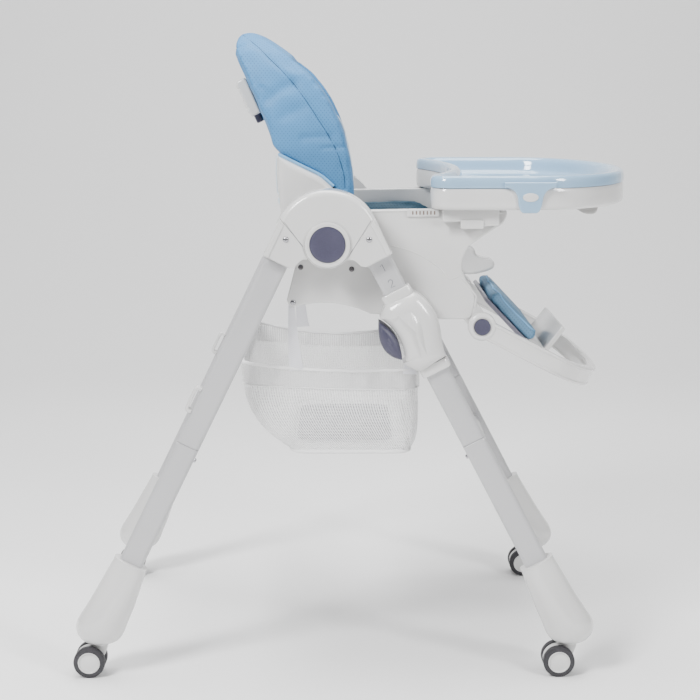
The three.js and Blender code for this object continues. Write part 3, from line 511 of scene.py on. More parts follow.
def leatherette(name, slot, colour, pitch=0.0058, hole=0.17, holes=True):
    """Coated cloth: pebbled grain, a slow change of tone, and staggered pin holes on a fixed pitch,
    laid out along whichever two axes a face lies nearest to."""
    finish = Finish(name, slot, Sheen_Weight=0.03, Sheen_Roughness=0.5, IOR=1.38)
    place = finish.place()
    x, y, z = finish.parts(place)
    nx, ny, nz = (part.size() for part in finish.parts(finish.facing()))
    sideways = ny > nx.most(nz)
    level = (nz > nx) * (1 - sideways)
    across = x * sideways + y * (1 - sideways)
    along = z * (1 - level) + x * level
    grain = finish.cells(place, 900, 1.0)
    cloud = finish.noise(place, 6, 4)
    crease = finish.noise(place, 60, 3, 0.6)
    tone = finish.tint(cloud.between(0.25, 0.8), scaled(colour, 0.88), scaled(colour, 1.08))
    height = grain * 0.45 + crease * 0.35
    if holes:
        row = along / (pitch * 0.62)
        odd = (row.floor() * 0.5).fraction()
        u = ((across / pitch) + odd).fraction() - 0.5
        v = (row.fraction() - 0.5) * 0.62
        distance = (u * u + v * v) ** 0.5
        pin = 1 - distance.between(hole * 0.6, hole * 1.25)
        # The pin holes are painted darker, as the shade inside them.
        tone = finish.tint(pin * 0.62, tone, scaled(colour, 0.42))
        height = height - pin * 0.9
    finish.feed(
        Base_Color=tone,
        Roughness=0.6 + (crease - 0.5) * 0.25,
        Normal=finish.bump(height, 0.00035, 0.6),
    )
    return finish


def net_cloth(name, slot, colour, pitch=0.0042, ratio=1.3):
    """Ribbed net: upright ribs with finer cross threads; it thins out between them."""
    finish = Finish(name, slot, Sheen_Weight=0.15)
    u, v, _ = finish.parts(finish.node("ShaderNodeUVMap"))
    slack = finish.noise(finish.place(), 30, 3)
    rib = ((u / pitch + slack * 0.35).fraction() - 0.5).size() * 2
    thread = ((v / (pitch * ratio)).fraction() - 0.5).size() * 2
    solid = rib.between(0.25, 0.75).most(thread.between(0.72, 0.95) * 0.8)
    finish.feed(
        Base_Color=finish.tint(solid * 0.7 + slack * 0.3, scaled(colour, 0.86), colour),
        Roughness=0.8 + (slack - 0.5) * 0.2,
        Alpha=0.14 + solid * 0.5,
        Normal=finish.bump(solid, 0.0004, 0.6),
    )
    return finish


def woven(name, slot, colour, pitch=0.0011, depth=0.00018):
    """Plain weave read from the piece's own UV map in metres: over and under on alternate threads."""
    finish = Finish(name, slot, Sheen_Weight=0.2)
    u, v, _ = finish.parts(finish.node("ShaderNodeUVMap"))
    cloud = finish.noise(finish.place(), 45, 3)
    warp = (u * (math.pi / pitch)).sine()
    weft = (v * (math.pi / pitch)).sine()
    weave = warp * weft * 0.5 + 0.5
    finish.feed(
        Base_Color=finish.tint(weave * 0.5 + cloud * 0.5, scaled(colour, 0.85), scaled(colour, 1.05)),
        Roughness=0.82 + (cloud - 0.5) * 0.2,
        Normal=finish.bump(weave, depth, 0.8),
    )
    return finish


def bright_steel(name, slot):
    """Turned screw heads: fine rings of polish with duller streaks."""
    finish = Finish(name, slot, Metallic=1.0)
    place = finish.place()
    streak = finish.noise(place, 700, 3)
    finish.feed(
        Base_Color=finish.tint(streak, (0.22, 0.22, 0.24), (0.55, 0.55, 0.57)),
        Roughness=0.14 + streak * 0.16,
    )
    return finish


def tyre_rubber(name, slot, colour):
    """Dull rubber with scuffs, slightly greyed where it rolls."""
    finish = Finish(name, slot, IOR=1.5)
    place = finish.place()
    scuff = finish.noise(place, 260, 4, 0.7)
    cloud = finish.noise(place, 50, 2)
    finish.feed(
        Base_Color=finish.tint((scuff * 0.6 + cloud * 0.4).between(0.35, 0.8), colour, scaled(colour, 2.6)),
        Roughness=0.55 + (scuff - 0.5) * 0.3,
        Normal=finish.bump(scuff, 0.0002, 0.6),
    )
    return finish


# ---- Pieces --------------------------------------------------------------------------------------

FINISHES = {}


def piece(name, shapes, finish, body, stands_for=(), sharp=38.0, in_metres=False):
    """One mesh from shapes in the hub's frame, with merged doubles and outward normals, riding on a
    body. Edges sharper than the limit stay crisp."""
    points, faces, count = [], [], 0
    for shape_points, shape_faces in shapes:
        points.append(shape_points if in_metres else AT_HUB(shape_points))
        faces += [[corner + count for corner in face] for face in shape_faces]
        count += len(shape_points)
    mesh = bpy.data.meshes.new(name)
    mesh.from_pydata(np.concatenate(points).tolist(), [], faces)
    work = bmesh.new()
    work.from_mesh(mesh)
    bmesh.ops.remove_doubles(work, verts=work.verts, dist=2e-6)
    bmesh.ops.dissolve_degenerate(work, edges=work.edges, dist=1e-6)
    bmesh.ops.recalc_face_normals(work, faces=work.faces)
    work.to_mesh(mesh)
    work.free()
    mesh.shade_smooth()
    corners = np.empty(len(mesh.polygons), np.int32)
    mesh.polygons.foreach_get("loop_total", corners)
    mesh.polygons.foreach_set("use_smooth", corners < 8)
    mesh.set_sharp_from_angle(angle=math.radians(sharp))
    made = bpy.data.objects.new(name, mesh)
    bpy.context.scene.collection.objects.link(made)
    made.data.materials.append(FINISHES[finish].material)
    if body:
        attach(made, body)
    if stands_for:
        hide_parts(*stands_for)
    return made


def grid_sheet(name, points, uv, finish, body, thickness=0.0, closed=True):
    """One sheet of quads from a grid of points, with a UV map in metres; Solidify gives it a body."""
    rows, columns = points.shape[:2]
    here = np.arange(columns if closed else columns - 1)
    ahead = (here + 1) % columns
    first = np.arange(rows - 1)[:, None] * columns
    faces = np.stack([first + here, first + ahead, first + columns + ahead, first + columns + here], -1)
    faces = faces.reshape(-1, 4)
    mesh = bpy.data.meshes.new(name)
    mesh.from_pydata(AT_HUB(points.reshape(-1, 3)).tolist(), [], faces.tolist())
    seam = (here == columns - 1) if closed else np.zeros(len(here), bool)
    corner_u = np.stack([uv[:-1, here, 0], uv[:-1, ahead, 0], uv[1:, ahead, 0], uv[1:, here, 0]], -1)
    corner_v = np.stack([uv[:-1, here, 1], uv[:-1, ahead, 1], uv[1:, ahead, 1], uv[1:, here, 1]], -1)
    if closed:
        step = uv[:-1, -1, 0] - uv[:-1, -2, 0]
        corner_u[:, seam, 1] = uv[:-1, -1:, 0] + step[:, None]
        corner_u[:, seam, 2] = uv[1:, -1:, 0] + step[:, None]
    layer = mesh.uv_layers.new(name="UVMap")
    layer.data.foreach_set("uv", np.stack([corner_u, corner_v], -1).astype(np.float32).ravel())
    mesh.shade_smooth()
    made = bpy.data.objects.new(name, mesh)
    bpy.context.scene.collection.objects.link(made)
    mesh.materials.append(FINISHES[finish].material)
    if thickness:
        wall = made.modifiers.new("wall", "SOLIDIFY")
        wall.thickness = thickness
        wall.offset = 0.0
    if body:
        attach(made, body)
    return made


def ribbon(name, path, widths, thickness, finish, body, up=(0, 0, 1)):
    """Flat strap along a path: a thin rounded section with a width for each point and a UV map in
    metres."""
    path = np.asarray(path, float)
    section = block(1.0, thickness, 0.02, 2)
    flat = np.array(swept(path, section * [1, 0], up)[0]).reshape(len(path), len(section), 3)
    full = np.array(swept(path, section, up)[0]).reshape(len(path), len(section), 3)
    rings = full + (flat - path[:, None]) * (np.asarray(widths, float)[:, None, None] - 1)
    around = np.linalg.norm(np.roll(rings[0], -1, 0) - rings[0], axis=1)
    u = np.concatenate([[0], np.cumsum(around)[:-1]]) * MM
    along = np.concatenate([[0], np.cumsum(np.linalg.norm(np.diff(path, axis=0), axis=1))]) * MM
    uv = np.stack(np.broadcast_arrays(u[None, :], along[:, None]), -1)
    made = grid_sheet(name, rings, uv, finish, body)
    work = bmesh.new()
    work.from_mesh(made.data)
    bmesh.ops.holes_fill(work, edges=[e for e in work.edges if e.is_boundary])
    bmesh.ops.recalc_face_normals(work, faces=work.faces)
    work.to_mesh(made.data)
    work.free()
    made.data.set_sharp_from_angle(angle=math.radians(50))
    return made


def apply_modifier(made, modifier):
    with bpy.context.temp_override(object=made, active_object=made, selected_objects=[made]):
        bpy.ops.object.modifier_apply(modifier=modifier.name)


def coordinates(mesh):
    points = np.empty(len(mesh.vertices) * 3, np.float32)
    mesh.vertices.foreach_get("co", points)
    return points.reshape(-1, 3).astype(float)


def stuffed(made, voxel, pressure, cap):
    """Padding: an even skin of quads is blown up as cloth for twenty frames, and no point moves more
    than the cap. One subdivision follows."""
    even_skin = made.modifiers.new("even", "REMESH")
    even_skin.mode = "VOXEL"
    even_skin.voxel_size = voxel
    apply_modifier(made, even_skin)
    settle = made.modifiers.new("settle", "SMOOTH")
    settle.factor = 0.5
    settle.iterations = 4
    apply_modifier(made, settle)
    start = coordinates(made.data)
    cloth = made.modifiers.new("cloth", "CLOTH")
    cloth.settings.quality = 4
    cloth.settings.use_pressure = True
    cloth.settings.uniform_pressure_force = pressure
    cloth.settings.tension_stiffness = 12
    cloth.settings.compression_stiffness = 8
    cloth.settings.bending_stiffness = 0.6
    cloth.settings.effector_weights.gravity = 0
    cloth.collision_settings.use_collision = False
    scene = bpy.context.scene
    for number in range(1, 21):
        scene.frame_set(number)
    graph = bpy.context.evaluated_depsgraph_get()
    blown = coordinates(made.evaluated_get(graph).data)
    scene.frame_set(1)
    made.modifiers.remove(cloth)
    move = blown - start
    length = np.linalg.norm(move, axis=1)[:, None]
    move *= np.minimum(1, cap / np.maximum(length, 1e-9))
    made.data.vertices.foreach_set("co", (start + move).astype(np.float32).ravel())
    finer = made.modifiers.new("finer", "SUBSURF")
    finer.levels = finer.render_levels = 1
    apply_modifier(made, finer)
    made.data.shade_smooth()
    made.data.update()


def reshaped(made, move):
    """Moves a piece's points by a function of their place in millimetres and their normals."""
    mesh = made.data
    normals = np.empty(len(mesh.vertices) * 3, np.float32)
    mesh.vertex_normals.foreach_get("vector", normals)
    points = coordinates(mesh)
    local = (points - HUB) / MM
    points += MM * move(local, normals.reshape(-1, 3))
    mesh.vertices.foreach_set("co", points.astype(np.float32).ravel())
    mesh.update()


def laid_on(made, path, towards, lift=0.0):
    """A path in millimetres moved along a direction until it meets a piece, and lifted back off it.
    Points that miss it are left out."""
    tree = BVHTree.FromObject(made, bpy.context.evaluated_depsgraph_get())
    way = np.asarray(towards, float) / np.linalg.norm(towards)
    starts = AT_HUB(np.asarray(path, float) - 300 * way)
    met = [tree.ray_cast(Vector(start), Vector(way))[0] for start in starts]
    on = np.array([place for place in met if place is not None])
    return (on - HUB) / MM - lift * way


# ---- Sizes shared by the pieces, in millimetres from the hub axis ---------------------------------

TUBE_WIDTH, TUBE_DEPTH = 38, 22
TUBE_TOP, TUBE_JOINT = 24, 380
FOOT_TOP, FOOT_BOTTOM, ANKLE = FLOOR + 186, FLOOR + 53, FLOOR + 92
HUB_RADIUS, HUB_INNER, HUB_OUTER = 82, 235, 284
RING_RADIUS, RING_HEIGHT, BUTTON_RADIUS = 35, 4, 27.3
SOCKET_END = 57
PANEL_OUTER, PANEL_INNER = 228, 212
SLIDER_TOP, SLIDER_BOTTOM, COLLAR = 112, 254, 12
SLIDER_INNER, SLIDER_OUTER = 228.3, 290.3
WHEEL_RADIUS, RIM_RADIUS, WHEEL_OUTER, WHEEL_INNER, TRAIL = 25, 17.3, 21, 6.5, 17
TRAY_HALF, TRAY_BACK, TRAY_FRONT = 265, 158, 488
HOOP_MIDDLE, HOOP_REACH = 235.3, 218
SIDE_SEAM = [(-140, 318), (-113, 298), (-96, 282), (-54, 240), (-18, 189), (11, 141), (25, 99), (27, 76)]


def leg_x(place, height):
    return place.local([0, 0, -down_to(place, height)])[0]


def stem_x(place, direction):
    return leg_x(place, ANKLE) + direction * 6


LEGS = (("front", FRONT_LEG, 1), ("rear", REAR_LEG, -1))


# ---- Legs, feet and casters ----------------------------------------------------------------------

def tube_length(start, end, y=LEG_Y):
    """Leg tube from one distance down the leg to another, its end rims turned in a little."""
    section = block(TUBE_WIDTH, TUBE_DEPTH, 8, 6)
    stops = np.array([start, start + 0.5, start + 1.4, start + 4, end - 4, end - 1.4, end - 0.5, end])
    shrink = np.array([0.9, 0.965, 1, 1, 1, 1, 0.965, 0.9])
    rings = np.empty((len(stops), len(section), 3))
    rings[..., 0] = section[:, 0] * shrink[:, None]
    rings[..., 1] = section[:, 1] * shrink[:, None] + y
    rings[..., 2] = -stops[:, None]
    return skin(rings)


def foot_shape(place, direction):
    """Drop turned on an upright axis: each ring is a flattened circle whose middle slides from the
    caster stem to the leg line as a smooth step of its height; the neck tips square to the leg."""
    radius = 41
    profile = np.array([(0.04, 0), (0.3, 0.2), (0.55, 2.2), (0.78, 9), (0.95, 22), (1, 39), (0.95, 60),
                        (0.83, 89), (0.71, 112), (0.63, 126), (0.61, 131.5), (0.585, 133), (0.2, 133)])
    profile = through(profile * [radius, 1] + [0, FOOT_BOTTOM], 6, closed=False)
    reach, height = profile[:, :1], profile[:, 1:]
    angle = np.linspace(0, 2 * math.pi, 56, endpoint=False)
    settle = np.clip((height - FOOT_BOTTOM) / (ANKLE + 20 - FOOT_BOTTOM), 0, 1)
    settle = settle * settle * (3 - 2 * settle)
    slope = direction * math.tan(abs(math.asin(place.up[0])))
    upright = stem_x(place, direction) - slope * (height - FOOT_BOTTOM) * 0.2
    lean = np.array([leg_x(place, h) for h in height[:, 0]])[:, None]
    square = np.clip((height - FOOT_TOP + 70) / 70, 0, 1) ** 2
    x = reach * np.cos(angle)
    y = reach * 0.8 * np.sin(angle)
    z = np.broadcast_to(height, x.shape) + x * slope * square
    return skin(np.stack([x + upright + (lean - upright) * settle, y + LEG_Y, z], -1))


def caster_hood():
    """Caster's bridge over its wheels, in a frame at the stem on the floor."""
    top = 52
    rear = arc(-TRAIL, WHEEL_RADIUS, 24, 99, 243, 18)
    outline = np.concatenate([[(11, top), (-12, top)], rear, [(-TRAIL + 8, WHEEL_RADIUS - 8)],
                              curve((-TRAIL + 8, WHEEL_RADIUS - 8), (8, WHEEL_RADIUS + 4),
                                    (12, top - 2))[1:]])
    bridge = moulded(apart(outline), -5.9, 5.9, 1.6)
    neck = turned([(10, 50), (10.5, 52.4), (9, 53), (5, 53.4), (5, 76), (4, 77), (0, 77)], sides=32)
    return [bridge, neck]


def wheel_profile(side):
    """Cap, rim and axle boss of one wheel as (radius, distance out)."""
    out = [(0, 20.2), (5, 20.1), (10, 19.6), (14, 18.6), (14.8, 18.9), (15.4, 20.4), (16.2, 21),
           (RIM_RADIUS, 20.4), (RIM_RADIUS, WHEEL_INNER), (8, WHEEL_INNER), (7, WHEEL_INNER - 0.3),
           (3.6, WHEEL_INNER - 0.3), (3.6, 0)]
    return [(r, side * y) for r, y in out]


def tyre_profile(side):
    """Tyre section: flat sides, rounded shoulders and a shallow middle groove."""
    near, far = WHEEL_INNER + 0.5, WHEEL_OUTER - 1
    middle = (near + far) / 2
    inner = RIM_RADIUS + 0.05
    out = [(inner, near), (WHEEL_RADIUS - 2, near), (WHEEL_RADIUS - 0.7, near + 0.6),
           (WHEEL_RADIUS, near + 2),
           (WHEEL_RADIUS, middle - 0.8), (WHEEL_RADIUS - 0.8, middle - 0.3),
           (WHEEL_RADIUS - 0.8, middle + 0.3),
           (WHEEL_RADIUS, middle + 0.8), (WHEEL_RADIUS, far - 2), (WHEEL_RADIUS - 0.7, far - 0.6),
           (WHEEL_RADIUS - 2, far), (inner, far)]
    return [(r, side * y) for r, y in out]


def build_legs():
    for prefix, place, _ in LEGS:
        into_foot = down_to(place, FOOT_TOP) + 12
        for side in SIDES:
            upper = moved(tube_length(TUBE_TOP, TUBE_JOINT), place)
            lower = moved(tube_length(TUBE_JOINT + 0.3, into_foot), place)
            body = f"{prefix}_frame"
            piece(f"{prefix}_tube_upper_{side}", [sided(upper, side)], "painted tube", body,
                  [f"{prefix}_leg_upper_{side}"], sharp=60)
            piece(f"{prefix}_tube_lower_{side}", [sided(lower, side)], "painted tube", body,
                  [f"{prefix}_leg_lower_{side}"], sharp=60)
        along = 470 if prefix == "front" else 440
        end = LEG_Y - TUBE_DEPTH / 2 + 1
        profile = [(11, -end), (11, -end + 2), (11, end - 2), (11, end)]
        spreader = moved(shifted(turned(profile, "y"), z=-along), place)
        collars = [moved(shifted(turned([(13, s * (end - 7)), (13.6, s * (end - 6)), (13.6, s * (end + 0.6))],
                                        "y"), z=-along), place) for s in (1, -1)]
        piece(f"{prefix}_spreader", [spreader, *collars], "painted tube", f"{prefix}_frame",
              [f"{prefix}_cross_tube"])


def build_feet():
    for prefix, place, direction in LEGS:
        shape = foot_shape(place, direction)
        for side in SIDES:
            piece(f"{prefix}_boot_{side}", [sided(shape, side)], "white shell", f"{prefix}_frame",
                  [f"foot_{prefix}_{side}"], sharp=50)


def build_casters():
    for prefix, place, direction in LEGS:
        stem = stem_x(place, direction)
        for side in SIDES:
            y = LEG_Y if side == "l" else -LEG_Y
            tag, body = f"{prefix}_{side}", f"{prefix}_{WORDS[side]}"
            at_stem = [shifted(shape, stem, y, FLOOR) for shape in caster_hood()]
            piece(f"hood_{tag}", at_stem, "white shell", f"caster_{body}", [f"caster_hood_{tag}"])
            axle = (stem - TRAIL, y, FLOOR + WHEEL_RADIUS)
            wheels = [turned(wheel_profile(s), "y", 64, centre=axle) for s in (1, -1)]
            piece(f"wheel_pair_{tag}", wheels, "white shell", f"wheels_{body}", [f"caster_wheels_{tag}"])
            for half, sign in (("outer", 1 if side == "l" else -1), ("inner", -1 if side == "l" else 1)):
                rubber = ring_of(tyre_profile(sign), "y", 64, axle)
                piece(f"rubber_{tag}_{half}", [rubber], "tyre", f"wheels_{body}", [f"tyre_{tag}_{half}"])


# ---- Hub and height slider -----------------------------------------------------------------------

def polar_cap(edge_radius, angles, low, high, rim_radius, rounding, bore):
    """Plate with a round bore, seen from its side, whose outline is a radius for each angle. Its face
    dips by a quarter round of the rounding only where it comes within that of the rim radius."""
    share = np.concatenate([np.linspace(0, 0.8, 8), 1 - np.geomspace(0.2, 0.002, 16), [1]])
    radius = bore + share[:, None] * (edge_radius - bore)
    inside = np.clip((radius - rim_radius + rounding) / rounding, 0, 1)
    level = high - rounding * (1 - np.sqrt(np.maximum(1 - inside ** 2, 0)))
    plan = np.stack([radius * np.cos(angles), radius * np.sin(angles)], -1)
    face = lie(plan, level, "y")
    foot = face[[0, -1]]
    foot[..., 1] = low
    return skin(np.concatenate([foot, face[::-1]]), loop=True)


def dome_plate():
    """The hub's front-frame half: a disc trimmed by its two seams and the scallop ring."""
    angles = np.radians(np.unique(np.concatenate([np.linspace(-36, 324, 289), [29.4, 151, 183.5, 220.5]])))
    angles = angles[:-1]
    turn = np.degrees(angles)
    seam_in, seam_out = (RING_RADIUS + 0.1, math.radians(-36)), (HUB_RADIUS, math.radians(29.15))

    def chord(a, b):
        """Radius at each angle along the straight line between two polar points."""
        ax, az = a[0] * math.cos(a[1]), a[0] * math.sin(a[1])
        bx, bz = b[0] * math.cos(b[1]), b[0] * math.sin(b[1])
        nx, nz = bz - az, ax - bx
        across = nx * np.cos(angles) + nz * np.sin(angles)
        return (nx * ax + nz * az) / np.where(np.abs(across) < 1e-9, 1e-9, across)

    radius = np.full(len(angles), float(HUB_RADIUS))
    front = turn < 29.4
    radius[front] = chord(seam_in, seam_out)[front]
    rear = (turn > 151) & (turn < 183.5)
    radius[rear] = chord((HUB_RADIUS, np.radians(151)), (36.7, np.radians(183.5)))[rear]
    radius[(turn >= 183.5) & (turn <= 220.5)] = 36.7
    radius[turn > 220.5] = RING_RADIUS
    return polar_cap(radius, angles, HUB_INNER, HUB_OUTER, HUB_RADIUS, 9, RING_RADIUS - 3)


def socket_outline(place, direction):
    """Socket seen from its side: the leg's outer line, the hub's rim, the seam, the scallop."""
    half = TUBE_WIDTH / 2 + 3
    outer = place.local([direction * half, 0, -SOCKET_END])[[0, 2]]
    inner = place.local([-direction * half, 0, -SOCKET_END])[[0, 2]]
    if direction > 0:
        rim = arc(0, 0, HUB_RADIUS, 27.5, 29, 2)
        seam = arc(0, 0, RING_RADIUS + 0.3, -36, -46, 4)
    else:
        rim = arc(0, 0, HUB_RADIUS, 154, 151.5, 2)
        seam = arc(0, 0, 37, 184, 220, 10)
    start = seam[-1]
    end = inner + np.array([-8 * direction, 1])
    scallop = curve(start, (39 * direction, -18), end)
    return apart(np.concatenate([[outer], rim, seam, scallop[1:], [inner]]))


def socket_shapes(place, direction):
    outline = socket_outline(place, direction)
    shell = moulded(outline, HUB_INNER, HUB_OUTER, 0.5)
    half = TUBE_WIDTH / 2 + 3
    strip = [place.local([direction * (half - 4.2), 0, -s])[[0, 2]]
             for s in np.linspace(SOCKET_END - 1, 2, 12)]
    path = np.array([(x, HUB_OUTER - 0.6, z) for x, z in strip])
    bead = swept(path, block(8, 5, 2.3, 4), up=(0, 1, 0))
    lip = block(TUBE_WIDTH + 8, TUBE_DEPTH + 9, 6, 4)
    rings = [np.stack([lip[:, 0] * k, lip[:, 1] * k + LEG_Y, np.full(len(lip), -s)], -1)
             for s, k in ((SOCKET_END - 3, 1.0), (SOCKET_END + 1.6, 1.0), (SOCKET_END + 2.4, 0.965))]
    return [shell, bead, moved(skin(rings), place)]


def scallop_wall():
    """Low wall that the hub's seams stand on, around the ring."""
    profile = [(RING_RADIUS + 1.8, HUB_OUTER), (RING_RADIUS + 1.4, HUB_OUTER + 1.2),
               (RING_RADIUS + 0.4, HUB_OUTER + 1.4), (RING_RADIUS + 0.2, HUB_OUTER - 1)]
    return ring_of(profile, "y", 96)


def hub_ring():
    top = HUB_OUTER + RING_HEIGHT
    profile = [(RING_RADIUS, HUB_OUTER - 3), (RING_RADIUS, top - 2.2), (RING_RADIUS - 0.7, top - 0.7),
               (RING_RADIUS - 2.2, top), (RING_RADIUS - 4.4, top - 0.1), (RING_RADIUS - 5, top - 0.7),
               (BUTTON_RADIUS + 1.6, top - 0.9), (BUTTON_RADIUS + 0.9, top - 0.3),
               (BUTTON_RADIUS + 0.4, top - 0.9),
               (BUTTON_RADIUS + 0.4, top - 18), (BUTTON_RADIUS + 6, top - 18)]
    return ring_of(profile, "y", 96)


def press_disc(radius, top, depth, dish=0.5, centre=(0, 0, 0)):
    """Round press face with a turned-over edge and a slight dish."""
    profile = [(0, top - dish), (radius * 0.5, top - dish * 0.75), (radius * 0.82, top - 0.1),
               (radius - 1.3, top),
               (radius - 0.4, top - 0.35), (radius, top - 1.2), (radius, top - depth), (0, top - depth)]
    return turned(profile, "y", 72, centre=centre)


def screw_head(radius, height, centre):
    """Domed head over a washer, with a recessed drive."""
    profile = [(0, height - 1.3), (radius * 0.28, height - 1.3), (radius * 0.34, height - 0.2),
               (radius * 0.62, height - 0.5), (radius * 0.9, height * 0.45), (radius, 0.4), (radius, -1)]
    return turned(profile, "y", 32, centre=centre)


def build_hub():
    dome = [dome_plate(), scallop_wall(), hub_ring()]
    seams = [[(29.8, -21.7), (65.5, 36.2)], [(-37.5, -3), (-65, 34)]]
    pin = turned([(0, HUB_INNER - 0.5), (11, HUB_INNER - 0.5), (12, HUB_INNER + 0.6),
                  (12, HUB_INNER + 3)], "y")
    for side in SIDES:
        word = WORDS[side]
        piece(f"hub_shell_{side}", [sided(s, side) for s in (*dome, pin)], "white shell", "front_frame",
              [f"hub_dome_{side}"], sharp=30)
        for prefix, place, direction in LEGS:
            shapes = [sided(s, side) for s in socket_shapes(place, direction)]
            piece(f"{prefix}_cup_{side}", shapes, "white shell", f"{prefix}_frame",
                  [f"hub_{prefix}_socket_{side}"], sharp=32)
            head = screw_head(4.6, 2.6, (63 * direction, HUB_OUTER, 8))
            piece(f"hub_screw_{prefix}_{side}", [sided(head, side)], "bright steel", f"{prefix}_frame")
        # Thin dark bars along the hub's seams: painted shade in the seam gaps.
        gap_shades = [sided(bead_on([line[0], np.mean(line, 0), line[1]], HUB_OUTER - 0.1, 0.5), side)
                for line in seams]
        piece(f"hub_gap_shade_{side}", gap_shades, "seam shade", "front_frame")
        disc = press_disc(BUTTON_RADIUS, HUB_OUTER + RING_HEIGHT - 0.5, 13)
        piece(f"hub_press_{side}", [sided(disc, side)], "grey control", f"hub_button_{word}",
              [f"hub_button_{side}"])


LENS_TOP, LENS_BOTTOM = -143, -212


def egg_outline():
    top, bottom = -SLIDER_TOP - COLLAR, -SLIDER_BOTTOM + COLLAR
    left = curve((-22, top), (-46, top - 14), (-62, top - 50), (-42, top - 88), steps=24)
    left = left[left[:, 1] > LENS_TOP + 4]
    bite = curve((-40, LENS_TOP + 4), (-18, -173), (-35, LENS_BOTTOM - 4), steps=18)
    tail = curve((-40, LENS_BOTTOM - 5), (-34, bottom + 10), (-22, bottom), steps=8)
    right = curve((24, bottom), (24, bottom + 30), (42, top - 70), (39, top - 40), steps=18)
    shoulder = curve((39, top - 40), (36, top - 12), (22, top), steps=12)
    return apart(np.concatenate([left, bite, tail, right[1:], shoulder[1:-1]]), 0.6)


def slider_collar(top, bottom, flare):
    lip = block(TUBE_WIDTH + 10, TUBE_DEPTH + 11, 8, 5)
    stops = [(top, 0.955), (top + 0.7, 0.985), (top + 2, 1), (bottom - 2, flare),
             (bottom - 0.6, flare * 0.99),
             (bottom, flare * 0.955)]
    rings = [np.stack([lip[:, 0] * k, lip[:, 1] * k + LEG_Y, np.full(len(lip), -s)], -1) for s, k in stops]
    return skin(rings)


def lens_outline():
    inner = curve((-44, LENS_TOP), (-22, -173), (-39, LENS_BOTTOM), steps=20)
    outer = curve((-39, LENS_BOTTOM), (-72, LENS_TOP - 44), (-44, LENS_TOP), steps=24)
    return apart(np.concatenate([inner, outer[1:-1]]), 0.5)


def build_slider():
    egg = moulded(egg_outline(), SLIDER_INNER, SLIDER_OUTER - 4, 27, 5, steps=14, under=3, drop=17)
    collars = [slider_collar(SLIDER_TOP, SLIDER_TOP + 15, 1.02),
               slider_collar(SLIDER_BOTTOM - 15, SLIDER_BOTTOM, 1.0)]
    lens = moulded(lens_outline(), SLIDER_INNER + 7, SLIDER_OUTER - 9, 9, 1.5, steps=8, under=2)
    for side in SIDES:
        shapes = [sided(moved(shape, FRONT_LEG), side) for shape in (egg, *collars)]
        piece(f"slider_shell_{side}", shapes, "white shell", "seat", [f"slider_housing_{side}"], sharp=40)
        piece(f"slider_press_{side}", [sided(moved(lens, FRONT_LEG), side)], "grey control",
              f"slider_button_{WORDS[side]}", [f"slider_button_{side}"], sharp=50)


# ---- Seat ----------------------------------------------------------------------------------------

def panel_outline():
    """Side panel: hooked rear corner, wavy lower edge, waisted front, long level top."""
    return apart(np.concatenate([
        curve((-64, -92), (-62, -102), (-54, -104), steps=5),
        curve((-54, -104), (8, -86), (66, -114), steps=12)[1:],
        curve((160, -122), (171, -123), (182, -123), steps=4),
        curve((216, -123), (224, -123), (226, -112), steps=5),
        curve((229, -98), (231, -88), (226, -79), steps=5),
        curve((213, -57), (201, -34), (218, -9), steps=12),
        curve((218, -9), (244, 10), (262, 21), steps=5)[1:],
        curve((262, 21), (276, 27), (277, 44), steps=8)[1:],
        [(276, 46), (156, 49), (-26, 46)],
        curve((-26, 46), (-40, 44), (-42, 30), steps=6)[1:],
        [(-50, -38)],
    ]), 0.4)


def bead_on(points, y, radius):
    """Thin raised line on a face that looks across the chair."""
    path = through([(x, y, z) for x, z in points], 6, closed=False)
    return swept(path, bar(radius, 8), up=(0, 1, 0))


